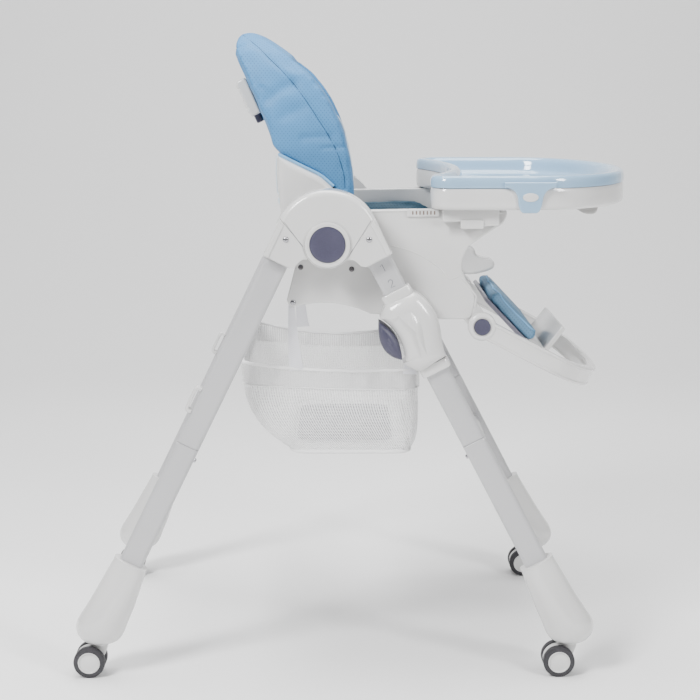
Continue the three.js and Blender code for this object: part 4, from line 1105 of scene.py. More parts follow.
def build_panels():
    body = moulded(panel_outline(), PANEL_INNER, PANEL_OUTER, 2.6, steps=4)
    x, z = LEGREST_PIVOT[0], LEGREST_PIVOT[2]
    lug = turned([(0, PANEL_INNER), (18, PANEL_INNER), (19, PANEL_INNER + 1), (19, PANEL_OUTER - 1),
                  (18, PANEL_OUTER), (0, PANEL_OUTER)], "y", 56, centre=(x, 0, z))
    web = moulded(rounded([(x - 28, -123, 2), (x - 8, z - 15, 2), (x + 9, z + 12, 4), (x - 8, -96, 6),
                           (x - 28, -96, 4)]), PANEL_INNER + 1, PANEL_OUTER - 1, 1.5)
    ridge = bead_on([(96, -7), (126, -15), (151, -27), (174, -43), (185, -57), (194, -59), (204, -55)],
                    PANEL_OUTER - 0.25, 0.9)
    top_lip = bead_on([(-24, 43.6), (40, 45), (156, 46.4), (272, 43.4)], PANEL_OUTER - 0.4, 1.6)
    strip = swept(np.array([(207, PANEL_OUTER - 3, -56), (219, PANEL_OUTER - 3, -70),
                            (231, PANEL_OUTER - 3, -87),
                            (229, PANEL_OUTER - 3, -104)]), block(3.2, 8, 1.4, 4), up=(0, 1, 0))
    rack = moulded(rounded([(122, 37, 2), (172, 38, 2), (172, 50, 2), (122, 49, 2)]), PANEL_OUTER - 1,
                   PANEL_OUTER + 3, 1)
    # Dark plates laid in the rack's notches: painted shade in the recesses.
    slots = [moulded(rounded([(a, 40.6, 0.8), (a + 2.2, 40.6, 0.8), (a + 2.2, 46.6, 0.8), (a, 46.6, 0.8)], 3),
                     PANEL_OUTER + 2, PANEL_OUTER + 3.2, 0.2, steps=1) for a in np.arange(130, 165, 5.6)]
    for side in SIDES:
        shapes = [sided(s, side) for s in (body, lug, web, ridge, top_lip, strip, rack)]
        piece(f"panel_{side}", shapes, "white shell", "seat", [f"side_panel_{side}"], sharp=35)
        piece(f"rack_slot_shade_{side}", [sided(s, side) for s in slots], "painted notch shade", "seat")
        heads = [screw_head(4.2, 2.2, (px, PANEL_OUTER, pz)) for px, pz in ((-42, -41), (37, -44))]
        piece(f"panel_bolts_{side}", [sided(s, side) for s in heads], "dark bolt", "seat")
        head = screw_head(4.4, 2.4, (-54, PANEL_OUTER, -96))
        piece(f"panel_screw_{side}", [sided(head, side)], "bright steel", "seat")


def pan_top(x):
    return -82 + (x + 48) * 16 / 270


def build_pan():
    outline = rounded([(-48, pan_top(-48) - 14, 4), (208, pan_top(222) - 14, 6), (222, pan_top(222) - 4, 4),
                       (222, pan_top(222), 3), (-48, pan_top(-48), 3)])
    deck = moulded(outline, -211.7, 211.7, 1.5)
    ribs = [moulded(rounded([(-30, pan_top(-30) - 20, 3), (196, pan_top(196) - 20, 3),
                             (200, pan_top(200) - 12, 2), (-34, pan_top(-34) - 12, 2)]), y - 2, y + 2, 0.6)
            for y in (-160, -96, -32, 32, 96, 160)]
    piece("pan_deck", [deck, *ribs], "white shell", "seat", ["seat_pan"])
    guard = even(through([(209, -72), (232, -79), (258, -76), (277, -68), (276, -56), (258, -52), (248, -46),
                          (244, -36), (232, -31), (216, -33), (208, -48)], 10), 120)
    post = moulded(guard, -24, 24, 6, steps=6)
    piece("crotch_guard", [post], "white shell", "seat", ["crotch_post"], sharp=60)


def copy_of(node, name, finish, body, shrink=0.0):
    """A piece with a soft node's own closed shape, drawn in along its normals."""
    made = bpy.data.objects.new(name, frame["nodes"][node].data.copy())
    bpy.context.scene.collection.objects.link(made)
    made.data.materials.clear()
    made.data.materials.append(FINISHES[finish].material)
    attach(made, body)
    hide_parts(node)
    if shrink:
        reshaped(made, lambda points, normals: -shrink * normals)
    return made


def groove(points, path, depth, width, plane=(0, 2)):
    """How deep each point lies in a rounded groove along a path seen in one plane."""
    path = np.asarray(path, float)
    flat = points[:, plane]
    deep = np.zeros(len(points))
    for a, b in zip(path[:-1], path[1:]):
        run = b - a
        t = np.clip(((flat - a) @ run) / (run @ run), 0, 1)[:, None]
        away = np.linalg.norm(flat - a - t * run, axis=1)
        deep = np.maximum(deep, depth * np.exp(-(away / width) ** 2))
    return deep


def thread(name, made, path, towards, radius, body, finish="seam thread", lift=0.2, drop=0.0):
    """Stitching or piping that follows a path laid on a piece, or hangs a little below it."""
    lying = laid_on(made, path, towards, lift) - [0, 0, drop]
    for _ in range(2):
        lying[1:-1] = (lying[:-2] + 2 * lying[1:-1] + lying[2:]) / 4
    up = np.abs(np.asarray(towards, float)) + np.array([0.13, 0.05, 0.11])
    return piece(name, [swept(lying, bar(radius, 8), up=up)], finish, body, sharp=80)


def build_back_cushion():
    pad = copy_of("back_cushion", "back_padding", "blue leatherette", "backrest", shrink=1.2)
    stuffed(pad, 0.005, 4.0, 0.003)
    seam = through(SIDE_SEAM, 6, closed=False)
    folds = (([(-54, 240), (-74, 230), (-93, 216)], 3.6, 9), ([(-37, 203), (-56, 196), (-74, 186)], 2.2, 9),
             ([(2, 158), (-18, 157), (-39, 155)], 2.6, 6), ([(-8, 139), (11, 141), (24, 141)], 2, 2.8))

    def pressed(points, normals):
        outside = np.clip((np.abs(points[:, 1]) - 120) / 25, 0, 1)
        deep = groove(points, seam, 2.2, 3.2) + sum(groove(points, *fold) for fold in folds)
        ripple = 0.7 * np.sin(points[:, 2] / 9 + points[:, 0] / 14)
        ripple *= np.sin(points[:, 1] / 21 + points[:, 2] / 31)
        middle = groove(points, [(-70, 40), (330, 40)], 2.4, 6, (2, 1))
        middle = middle + groove(points, [(-70, -40), (330, -40)], 2.4, 6, (2, 1))
        inside = (np.abs(points[:, 1]) < 110) * (normals[:, 0] > 0.3)
        bands = sum(groove(points, [(-130, h), (130, h)], 2.4, 6, (1, 2)) for h in (60, 120, 180, 240))
        return -((deep * outside + middle * inside + bands * inside * (np.abs(points[:, 1]) < 42))
                 + ripple * outside)[:, None] * normals

    reshaped(pad, pressed)
    for side, sign in (("l", 1), ("r", -1)):
        inward = (0, -sign, 0)
        outer = [(x, 0, z) for x, z in even(seam, 60, closed=False)]
        thread(f"back_seam_{side}", pad, outer, inward, 0.6, "backrest", lift=-0.1)
        lower = through([(-77, 134), (-45, 118), (-11, 101), (9, 84)], 6, closed=False)
        hem = [(x, 0, z) for x, z in even(lower, 40, closed=False)]
        thread(f"back_hem_{side}", pad, hem, inward, 2.4, "backrest", "blue piping", -0.6, 4.2)
        rim = through([(126, -12), (127, 60), (128, 120), (126, 180), (112, 235), (96, 262)], 8, closed=False)
        edge = [(0, sign * y, z) for y, z in even(rim, 60, closed=False)]
        thread(f"back_piping_{side}", pad, edge, (-1, 0, 0), 1.5, "backrest", "pale piping", 0.3)


def build_seat_cushion():
    # The seat cover: the cushion's own teal, darkened further as painted shade under the tray.
    pad = copy_of("seat_cushion", "seat_padding", "shaded teal leatherette", "seat", shrink=1.6)
    stuffed(pad, 0.005, 4.0, 0.006)

    def pressed(points, normals):
        level = np.clip(normals[:, 2], 0, 1)
        lines = sum(groove(points, [(30, y), (200, y)], 2.5, 6, (0, 1)) for y in (-90, 0, 90))
        return -(lines * level)[:, None] * normals

    reshaped(pad, pressed)


def build_calf_pad():
    # The calf pad's cover is the back's blue leatherette, made paler as painted light.
    pad = copy_of("calf_pad", "calf_padding", "lit pad leatherette", "legrest", shrink=1.2)
    stuffed(pad, 0.004, 4.0, 0.003)

    def crowned(points, normals):
        level = np.clip(normals @ CALF.up, 0, 1)
        deep = sum(groove(points, [(CALF.local([0, y, 0])[0] - 20, y), (CALF.local([104, y, 0])[0] + 20, y)],
                          2.2, 6, (0, 1)) for y in (-44, 44))
        return -(deep * level)[:, None] * normals

    reshaped(pad, crowned)
    border = rounded([(8, -120, 14), (96, -120, 14), (96, 120, 14), (8, 120, 14)])
    border = even(border, 150)
    line = CALF.local(np.stack([border[:, 0], border[:, 1], np.full(len(border), 8.0)], -1))
    lying = laid_on(pad, line, -CALF.up, 0.2)
    cord = swept(lying, bar(1.4, 8), up=CALF.up + np.array([0, 0.01, 0]), closed=True)
    piece("calf_piping", [cord], "blue piping", "legrest", sharp=80)


# ---- Backrest ------------------------------------------------------------------------------------

def build_back_shell():
    outline = apart(np.concatenate([
        curve((-30, -62), (-58, -20), (-74, 40), steps=14),
        curve((-74, 40), (-79, 90), (-78, 128), steps=10)[1:],
        curve((-60, 119), (-44, 111), (-28, 103), steps=4),
        curve((-18, 98.4), (-11, 95), (-5, 89.5), steps=4),
        curve((4, 81.3), (12, 74), (11.9, 62), steps=5),
        curve((11.1, 20), (11, 10), (11.8, 0), steps=4),
        curve((16, -52), (10, -69), (-8, -70), steps=6),
        curve((-8, -70), (-22, -70), (-30, -62), steps=6)[1:-1],
    ]), 0.6)
    shell = moulded(outline, -190, 190, 9, steps=6)
    spine = through([(-34, -54), (-58, -8), (-72, 42), (-77, 92), (-77, 122)], 6, closed=False)
    ribs = [swept(np.array([(x - 1.5, y, z) for x, z in spine]), block(9, 7, 3, 4), up=(1, 0, 0))
            for y in (-120, -60, 0, 60, 120)]
    piece("back_shell_skin", [shell, *ribs], "white shell", "backrest", ["backrest_shell"], sharp=40)
    for side, sign in (("l", 1), ("r", -1)):
        y = sign * 170
        line = swept(np.array([(-80.5, y, 128), (-81, y, 100), (-79.5, y, 72), (-76, y, 66)]),
                     bar(0.9, 8), up=(0, 1, 0))
        angle = np.linspace(0, 2 * math.pi, 32, endpoint=False)
        loop = np.stack([-70 + 7 * np.cos(angle), np.full(32, y), 58 + 7.5 * np.sin(angle)], -1)
        piece(f"cover_loop_{side}", [swept(loop, bar(1.7, 10), up=(0, 1, 0), closed=True), line],
              "pale piping",
              "backrest")


def ribbed_grip():
    """Grip's outline: a rounded block whose rear face carries a row of rounded ribs."""
    ribs = np.concatenate([curve((-8.5, z + 4), (-11.5, z + 3), (-11.5, z - 3), (-8.5, z - 4), steps=6)
                           for z in np.arange(22, -24, -8.6)])
    return apart(np.concatenate([[(-7, -31), (6, -31), (8.5, -28.5), (8.5, 28), (6, 31), (-6, 31),
                                  (-8.3, 29)],
                                 ribs, [(-8.5, -28)]]), 0.3)


def build_recline_handle():
    grip = moulded(ribbed_grip(), -46, 46, 3.5, steps=4)
    neck = moulded(rounded([(4, -12, 3), (28, -12, 3), (28, 12, 3), (4, 12, 3)]), -20, 20, 2)
    piece("recline_grip", [moved(grip, HANDLE), moved(neck, HANDLE)], "white shell", "backrest",
          ["recline_handle"],
          sharp=40)
    tongue = moulded(rounded([(-5.5, -45, 3), (5.5, -45, 3), (5.5, -19, 2), (-5.5, -19, 2)]), -26, 26, 3,
                     steps=4)
    piece("recline_squeeze", [moved(tongue, HANDLE)], "grey control", "recline_trigger", ["recline_trigger"])
    nub = moulded(rounded([(5, -44, 3), (11, -44, 3), (12, -38, 3), (5, -37, 2)]), -14, 14, 2)
    piece("recline_nub", [moved(nub, HANDLE)], "blue tray", "recline_trigger")


# ---- Leg rest ------------------------------------------------------------------------------------

def hoop_line():
    """Half-width plan of the hoop's middle line: straight arms and a round nose."""
    half, reach = HOOP_MIDDLE, HOOP_REACH
    side = curve((110, -half), (0.85 * reach, -half), (reach, -0.62 * half), (reach, 0), steps=28)
    run = np.concatenate([[(6, -half), (30, -half), (70, -half)], side])
    return np.concatenate([run, (run * [1, -1])[::-1][1:]])


def build_legrest():
    line = even(hoop_line(), 160, closed=False)
    path = np.stack([line[:, 0], line[:, 1], np.full(len(line), -1.0)], -1)
    section = rounded([(-7, -15, 3), (7, -15, 3), (7, 15, 3), (-7, 15, 3)], 4)
    band = swept(path, section)
    rail = [swept(path + np.array([0, 0, s * 12.2]), block(16.4, 4.6, 2.1, 4)) for s in (1, -1)]
    disc = moved(turned([(0, 228.4), (20, 228.4), (22, 229.6), (22, 240), (21.2, 242.6), (18.6, 244),
                         (15.4, 244.2), (14.4, 243), (13.4, 243), (13.1, 236), (0, 236)], "y", 72), LEGREST)
    shapes = [moved(s, LEGREST) for s in (band, *rail)] + [disc, mirrored(disc)]
    piece("hoop_band", shapes, "white shell", "legrest", ["legrest_hoop"], sharp=45)
    board = moulded(rounded([(0, -124, 14), (116, -124, 14), (116, 124, 14), (0, 124, 14)]), -7, -0.2, 2,
                    axis="z")
    step = moulded(rounded([(110, -14, 3), (133, -14, 4), (143, 46, 4), (136, 49, 3), (127, 1, 5),
                            (109, -2, 3)], 8),
                   -110, 110, 1.8, steps=4)
    brace = moulded(rounded([(108, -14, 2), (129, -14, 2), (129, -5, 2), (108, -5, 2)]), -214, 214, 2)
    # The calf board's grey is partly its own and partly painted shade under the pad.
    piece("leg_board", [moved(board, CALF)], "board grey with painted shade", "legrest", ["foot_plate"], sharp=40)
    piece("foot_step", [moved(step, LEGREST)], "white shell", "legrest", sharp=40)
    piece("leg_brace", [moved(brace, LEGREST)], "white shell", "legrest")
    cap = press_disc(12.7, 245.3, 5.5, 0.3)
    for side in SIDES:
        piece(f"leg_press_{side}", [sided(moved(cap, LEGREST), side)], "grey control",
              f"legrest_button_{WORDS[side]}", [f"legrest_button_{side}"])


# ---- Tray ----------------------------------------------------------------------------------------

def tray_plan(inset):
    """Tray from above, drawn in by an inset: two arms around a belly curve, and a round front."""
    half, back, front = TRAY_HALF - inset, TRAY_BACK + inset, TRAY_FRONT - inset
    arm, belly = half - 38 + 0.7 * inset, TRAY_BACK + inset + 88
    side = np.concatenate([
        curve((back, -arm), (back, -half), (back + 34, -half), steps=14),
        [(back + 70, -half), (back + 110, -half)],
        curve((back + 150, -half), (front - 66, -half), (front, -0.58 * half), (front, 0), steps=30),
    ])
    return np.concatenate([side, (side * [1, -1])[::-1][1:],
                           curve((back, arm), (belly, 0), (back, -arm), steps=36)[1:-1]])


def tray_skin(profile):
    """Rings of the tray's plan at (inset, height), both ends filled."""
    return skin([lie(tray_plan(inset), height, "z") for inset, height in profile])


def build_tray():
    base = tray_skin([(30, 50.4), (8, 50), (4, 50.6), (1.6, 52.4), (0.4, 57), (0, 65), (0.3, 75),
                      (0.9, 80), (2, 82.6),
                      (3.4, 83), (12.5, 83), (14, 81.5), (14.4, 58), (16, 55.4), (20, 55)])
    bracket = moulded(rounded([(176, 30, 4), (204, 31, 1), (206, 23, 3), (264, 24, 4), (264, 54, 1),
                               (176, 54, 1)]),
                      PANEL_OUTER + 3.8, PANEL_OUTER + 15, 2.2)
    shoe = moulded(rounded([(204, 20, 3), (240, 20, 3), (240, 34, 2), (204, 34, 2)]), PANEL_OUTER + 4,
                   PANEL_OUTER + 18, 1.6)
    shapes = [base] + [sided(s, side) for s in (bracket, shoe) for side in SIDES]
    piece("tray_skirt", shapes, "white shell", "tray", ["tray_base"], sharp=45)
    top = tray_skin([(40, 71.4), (18, 71.4), (15.4, 72), (15, 74), (15, 83.4), (1.2, 83.4), (0.1, 84),
                     (-0.2, 86),
                     (0, 92), (0.8, 97), (2.6, 100.4), (5.4, 101.9), (9, 102.1), (13, 101.2),
                     (16.4, 98.8), (19, 94.6),
                     (21, 88), (23, 81), (25.4, 77.4), (30, 75.7), (36, 75.3)])
    tab = moulded(apart(np.concatenate([
        curve((268, 85), (286, 84), (289, 68), steps=6), curve((289, 68), (290, 47), (298, 46), steps=6)[1:],
        curve((317, 46), (325, 47), (327, 68), steps=6), curve((327, 68), (330, 84), (348, 85), steps=6)[1:],
        [(348, 93), (268, 93)]]), 0.4), TRAY_HALF - 3, TRAY_HALF + 4.6, 2.2, steps=4)
    piece("tray_basin", [top, tab, mirrored(tab)], "blue tray", "tray_top", ["tray_top"], sharp=45)
    oval = turned([(0, TRAY_HALF + 6.2), (5, TRAY_HALF + 6.1), (6.3, TRAY_HALF + 5.6), (7, TRAY_HALF + 4),
                   (7, TRAY_HALF + 2)], "y", 56)
    points = oval[0] * np.array([12.5 / 7, 1, 1]) + np.array([308, 0, 70])
    for side in SIDES:
        piece(f"tray_badge_{side}", [sided((points, oval[1]), side)], "white shell", "tray_top")
    lever = moulded(apart(np.concatenate([
        curve((404, 49.7), (410, 28), (430, 24), steps=8), curve((438, 24), (446, 25), (447, 33), steps=6),
        [(450, 49.7)]])), -40, 40, 3, steps=5)
    # The lever's grey, darker than the shell, is painted shade: it hangs in the shadow under the tray.
    piece("tray_pull", [lever], "shaded lever grey", "tray_lever", ["tray_lever"], sharp=45)


# ---- Basket --------------------------------------------------------------------------------------

def basket_ring(share, out=0.0, count=260):
    """Basket's plan at a share of its height: a rounded rectangle whose rear leans out in a curve. Its
    rims sag between the corners, and the loose band under them is rippled."""
    z = -341 + 148 * share
    rear = -137 + 80 * (1 - share) ** 3
    front = 143 - 15 * (1 - share) ** 9
    half = 216 - 10 * (1 - share) ** 6
    plan = even(rounded([(rear, -half, 34), (front, -half, 26), (front, half, 26), (rear, half, 34)], 10),
                count)
    outward = -inwards(plan)
    across = np.clip((plan[:, 0] - rear) / (front - rear), 0, 1)
    side = plan[:, 1] / half
    angle = np.linspace(0, 2 * math.pi, count, endpoint=False)
    loose = share ** 2
    ripple = loose * (1.3 * np.sin(23 * angle + 5 * share) + 0.9 * np.sin(41 * angle - 9 * share)
                      + 0.8 * np.sin(67 * angle + 14 * share))
    bow = 5 * math.sin(math.pi * share) * np.sin(math.pi * across)
    plan = plan + outward * (out + ripple - bow)[:, None]
    sag = share ** 3 * (8 + 12 * (side + 1) / 2) * np.sin(math.pi * np.clip(across, 0, 1)) ** 0.8
    level = z - sag - 10 * share * across
    return lie(plan, level, "z")


def wall_area(rings):
    """Sum of the quads' areas, as half the cross product of their diagonals."""
    ahead = np.roll(rings, -1, 1)
    first = ahead[1:] - rings[:-1]
    second = rings[1:] - ahead[:-1]
    return np.linalg.norm(np.cross(first, second), axis=-1).sum() / 2


def build_basket():
    shares = np.linspace(0, 1, 46)
    rings = np.stack([basket_ring(share) for share in shares])
    around = np.linalg.norm(np.roll(rings[-1], -1, 0) - rings[-1], axis=1)
    u = np.concatenate([[0], np.cumsum(around)[:-1]]) * MM
    v = shares * 148 * MM
    uv = np.stack(np.broadcast_arrays(u[None, :], v[:, None]), -1)
    wall = grid_sheet("basket_wall", rings, uv, "basket mesh", "seat", 0.0008)
    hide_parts("basket")
    length, area = around.sum() * MM, wall_area(rings) * MM * MM

    band_shares = np.linspace(0.76, 1.0, 14)
    band_rings = np.stack([basket_ring(share, 1.3) for share in band_shares])
    band_uv = np.stack(np.broadcast_arrays(u[None, :], (band_shares * 148 * MM)[:, None]), -1)
    band = grid_sheet("basket_band", band_rings, band_uv, "basket binding", "seat", 0.0006)
    band_area = wall_area(band_rings) * MM * MM

    shrink = np.linspace(1, 0.04, 24)[:, None, None]
    bottom = rings[0]
    middle = bottom.mean(0)
    floor_rings = middle + (bottom - middle) * shrink
    floor_rings[..., 2] -= 3 * (1 - shrink[..., 0] ** 2)
    floor_uv = (floor_rings[..., :2]) * MM
    floor = grid_sheet("basket_floor", floor_rings, floor_uv, "basket mesh", "seat", 0.0008)
    size = bottom.max(0) - bottom.min(0)
    floor_area = wall_area(floor_rings) * MM * MM

    rim = swept(basket_ring(1.0, 0.6)[::2], bar(2.6, 10), closed=True)
    hem = swept(basket_ring(0.01, 0.6)[::2], bar(3.4, 10), closed=True)
    fold = swept(basket_ring(0.76, 1.6)[::2], bar(1.0, 8), closed=True)
    piece("basket_piping", [rim, hem, fold], "basket piping", "seat", sharp=80)
    # Floor board of the basket: a dark plate, partly the floor's own lilac-grey and partly painted shade seen
    # through the net.
    board = moulded(rounded([(-52, -138, 30), (104, -138, 30), (104, 138, 30), (-52, 138, 30)], 10),
                    -338, -334.6, 1,
                    axis="z")
    piece("basket_shade_board", [board], "board grey with painted shade", "seat")


def wide_ribbon(name, path, widths, thickness, finish, body, up):
    """Strap whose width changes along it."""
    made = ribbon(name, path, widths, thickness, finish, body, up)
    return made


def build_straps():
    for side, sign in (("l", 1), ("r", -1)):
        y = sign * 219
        rear = through([(-57, sign * 221, -99), (-56, y, -130), (-54, y, -160), (-51, sign * 218, -194),
                        (-50, sign * 217, -206)], 6, closed=False)
        front = through([(132, sign * 221, -119), (132, y, -150), (130, sign * 218, -180),
                         (129, sign * 217, -212)], 6,
                        closed=False)
        wide_ribbon(f"basket_strap_rear_{side}", rear, np.linspace(9, 25, len(rear)), 1.1, "webbing",
                    "seat",
                    (0, 1, 0))
        wide_ribbon(f"basket_strap_front_{side}", front, np.linspace(9, 22, len(front)), 1.1, "webbing",
                    "seat",
                    (0, 1, 0))


def build_harness():
    """Five-point harness: two shoulder straps down the hollow of the back, and lap and crotch straps on
    the seat that meet in a buckle."""
    for side, sign in (("l", 1), ("r", -1)):
        shoulder = through([(-30, sign * 44, 204), (-14, sign * 44, 196), (3, sign * 43, 168),
                            (16, sign * 42, 130),
                            (26, sign * 40, 90), (32, sign * 38, 50), (34, sign * 36, 10)], 8, closed=False)
        lap = through([(38, sign * 120, -34), (62, sign * 96, -33), (84, sign * 60, -34),
                       (100, sign * 24, -34)], 8,
                      closed=False)
        wide_ribbon(f"shoulder_strap_{side}", shoulder, np.full(len(shoulder), 24.0), 1.4, "webbing",
                    "backrest",
                    (1, 0, 0))
        wide_ribbon(f"lap_strap_{side}", lap, np.full(len(lap), 24.0), 1.4, "webbing", "seat",
                    (0, 0, 1))
    crotch = through([(198, 0, -36), (170, 0, -36), (140, 0, -34), (118, 0, -33)], 8, closed=False)
    wide_ribbon("crotch_strap", crotch, np.full(len(crotch), 24.0), 1.4, "webbing", "seat",
                (0, 0, 1))
    buckle = moulded(rounded([(92, -19, 8), (126, -17, 8), (126, 17, 8), (92, 19, 8)], 6), -37, -27, 3.5,
                     axis="z")
    press = moulded(rounded([(100, -8, 7), (118, -8, 7), (118, 8, 7), (100, 8, 7)], 6), -28, -25.6, 1,
                    axis="z")
    piece("buckle_body", [buckle], "white shell", "seat")
    piece("buckle_press", [press], "grey control", "seat")


# ---- Small fittings ------------------------------------------------------------------------------

def digit_strokes(figure):
    if figure == "1":
        return [[(-3.2, 3.6), (0.6, 6), (0.6, -6)]]
    arch = arc(0, 2.6, 3.4, 165, -38, 12)
    return [np.concatenate([arch, [(-3.6, -6), (3.8, -6)]])]


def build_fittings():
    for side, sign in (("l", 1), ("r", -1)):
        face = LEG_Y + TUBE_DEPTH / 2
        marks = []
        for figure, along in (("1", 72), ("2", 99)):
            for stroke in digit_strokes(figure):
                line = np.array([(-sign * a, sign * (face + 0.05), b - along) for a, b in stroke])
                marks.append(moved(swept(line, block(1.1, 0.4, 0.15, 2), up=(0, 1, 0)), FRONT_LEG))
        piece(f"height_marks_{side}", marks, "grey print", "front_frame")
        for prefix, place, direction in LEGS:
            bolt = turned([(0, 3.4), (2.4, 3.2), (3.4, 1.8), (3.6, -1)], "z", 24)
            turn = Place(0, 0, -direction * math.pi / 2)
            bolt = moved((turn.local(bolt[0]), bolt[1]), Place())
            bolt = shifted(bolt, -direction * TUBE_WIDTH / 2, 0, -(TUBE_JOINT + 18))
            bolt = shifted(moved(bolt, place), y=sign * LEG_Y)
            piece(f"joint_bolt_{prefix}_{side}", [bolt], "bright steel", f"{prefix}_frame")
        hook = swept(through([(-18, 0, -290), (-25, 0, -290), (-27, 0, -296), (-27, 0, -322), (-25, 0, -328),
                              (-18, 0, -328)], 5, closed=False), block(5.4, 20, 2, 4), up=(0, 1, 0))
        hook = shifted(moved(hook, REAR_LEG), y=sign * LEG_Y)
        piece(f"tray_hook_{side}", [hook], "white shell", "rear_frame", sharp=45)


# ---- Stage ---------------------------------------------------------------------------------------

def area_light(name, place, target, size, power, colour=(1, 1, 1)):
    data = bpy.data.lights.new(name, "AREA")
    data.shape = "RECTANGLE"
    data.size, data.size_y = size
    data.energy = power
    data.color = colour
    made = bpy.data.objects.new(name, data)
    made.location = place
    made.rotation_euler = (Vector(target) - Vector(place)).to_track_quat("-Z", "Y").to_euler()
    bpy.context.scene.collection.objects.link(made)


def build_stage():
    depth = np.concatenate([np.linspace(-6, 2.2, 20),
                            2.2 + 1.6 * np.sin(np.linspace(0.1, math.pi / 2, 16)), [3.8]])
    height = np.concatenate([np.zeros(20), 1.6 * (1 - np.cos(np.linspace(0.1, math.pi / 2, 16))), [7]])
    width = np.array([-7.0, 7.0])
    points = np.stack(np.broadcast_arrays(width[None, :], depth[:, None], height[:, None]), -1).reshape(-1, 3)
    rows = np.arange(len(depth) - 1)[:, None] * 2
    faces = (rows + np.array([0, 1, 3, 2])).tolist()
    mesh = bpy.data.meshes.new("studio_sweep")
    mesh.from_pydata(points.tolist(), [], faces)
    mesh.shade_smooth()
    sweep = bpy.data.objects.new("studio_sweep", mesh)
    bpy.context.scene.collection.objects.link(sweep)
    mesh.materials.append(FINISHES["studio floor"].material)
    area_light("key_light", (-1.9, -2.2, 2.9), (0.1, 0, 0.5), (0.9, 1.3), 205)
    area_light("fill_light", (2.4, -2.4, 2.2), (0, 0, 0.5), (0.6, 1.2), 95)
    area_light("top_light", (0.1, 0.3, 3.6), (0, 0.1, 0), (2.4, 2.2), 185)
    world = bpy.data.worlds.new("studio")
    world.use_nodes = True
    back = next(n for n in world.node_tree.nodes if n.type == "BACKGROUND")
    back.inputs["Color"].default_value = (0.985, 0.985, 1.0, 1)
    back.inputs["Strength"].default_value = 0.13
    bpy.context.scene.world = world
    data = bpy.data.cameras.new("camera")
    data.lens, data.sensor_width = 82.3, 36
    made = bpy.data.objects.new("camera", data)
    made.location = (-0.0224, -2.694, 0.9555)
    made.rotation_euler = (math.radians(80), 0, math.radians(-0.358))
    bpy.context.scene.collection.objects.link(made)
    bpy.context.scene.camera = made


# ---- Materials of the chair ----------------------------------------------------------------------

def plain_floor(name, slot, colour):
    """Matt studio paper."""
    finish = Finish(name, slot, IOR=1.4)
    cloud = finish.noise(finish.place(), 1.5, 3)
    finish.feed(Base_Color=finish.tint(cloud, scaled(colour, 0.97), colour),
                Roughness=0.75 + (cloud - 0.5) * 0.1)
    return finish


def build_finishes(colours, pitch):
    white, tray = tuple(colours.shell), tuple(colours.tray)
    blue, grey = tuple(colours.cover), tuple(colours.control)
    FINISHES.update({
        "white shell": moulded_plastic("white shell", "white shell", white, 0.17),
        "painted tube": painted_tube("painted tube", "painted tube", tuple(colours.tube)),
        "grey control": dimpled_grey("grey control", "grey control", grey),
        # A darker copy of the shell plastic: painted shade on the tray lever under the tray.
        "shaded lever grey": moulded_plastic("shaded lever grey", "grey control", (0.42, 0.41, 0.40), 0.35),
        "blue tray": moulded_plastic("blue tray", "blue tray", tray, 0.1),
        "blue leatherette": leatherette("blue leatherette", "blue leatherette", blue, pitch),
        # A darker copy of the cover's leatherette: the seat's own teal tone, darkened further as painted
        # shade under the tray.
        "shaded teal leatherette": leatherette("shaded teal leatherette", "blue leatherette", (0.03, 0.08, 0.12), pitch),
        # A paler copy of the cover's leatherette: painted light on the calf pad.
        "lit pad leatherette": leatherette("lit pad leatherette", "blue leatherette", (0.13, 0.27, 0.42), pitch),
        "pale piping": leatherette("pale piping", "blue leatherette", (0.62, 0.72, 0.80), holes=False),
        "blue piping": leatherette("blue piping", "blue leatherette", (0.2, 0.45, 0.72), holes=False),
        "seam thread": leatherette("seam thread", "blue leatherette", scaled(blue, 0.22), holes=False),
        "basket mesh": net_cloth("basket mesh", "basket mesh", (0.95, 0.95, 0.95)),
        "basket binding": net_cloth("basket binding", "basket mesh", (0.95, 0.95, 0.95), 0.0014, 1.3),
        "basket piping": woven("basket piping", "basket mesh", (0.86, 0.86, 0.86)),
        "webbing": woven("webbing", "basket mesh", (0.72, 0.72, 0.76), 0.0016),
        # Grey of the boards: partly their own grey-mauve, partly painted shade, under the calf pad and
        # through the basket net.
        "board grey with painted shade": moulded_plastic("board grey with painted shade", "grey control", (0.15, 0.145, 0.19), 0.55),
        # Painted shade for the rack's notches.
        "painted notch shade": moulded_plastic("painted notch shade", "grey control", (0.16, 0.11, 0.09), 0.6),
        "grey print": moulded_plastic("grey print", "grey control", (0.13, 0.13, 0.16), 0.5),
        "seam shade": moulded_plastic("seam shade", "grey control", (0.2, 0.2, 0.21), 0.6),
        "dark bolt": moulded_plastic("dark bolt", "grey control", (0.05, 0.045, 0.05), 0.25),
        "bright steel": bright_steel("bright steel", "grey control"),
        "tyre": tyre_rubber("tyre", "tyre", (0.018, 0.017, 0.02)),
        "studio floor": plain_floor("studio floor", "white shell", (0.9, 0.9, 0.9)),
    })


# ---- Add-on --------------------------------------------------------------------------------------

def colour_property(name, description, default):
    return bpy.props.FloatVectorProperty(name=name, description=description, default=default, size=3,
                                         min=0, max=1,
                                         subtype="COLOR")


class ChairColours(bpy.types.PropertyGroup):
    shell: colour_property("Shell", "Colour of the moulded shells", (0.63, 0.627, 0.62))
    tube: colour_property("Tube", "Colour of the painted leg tubes", (0.44, 0.44, 0.45))
    control: colour_property("Controls", "Colour of the press faces", (0.045, 0.043, 0.075))
    tray: colour_property("Tray", "Colour of the tray's basin", (0.27, 0.42, 0.58))
    cover: colour_property("Cover", "Colour of the padded covers", (0.06, 0.215, 0.435))


class ChairSizes(bpy.types.PropertyGroup):
    perforation: bpy.props.FloatProperty(name="Perforation pitch", description="Distance between pin holes",
                                         default=0.0058, min=0.003, max=0.02, unit="LENGTH")


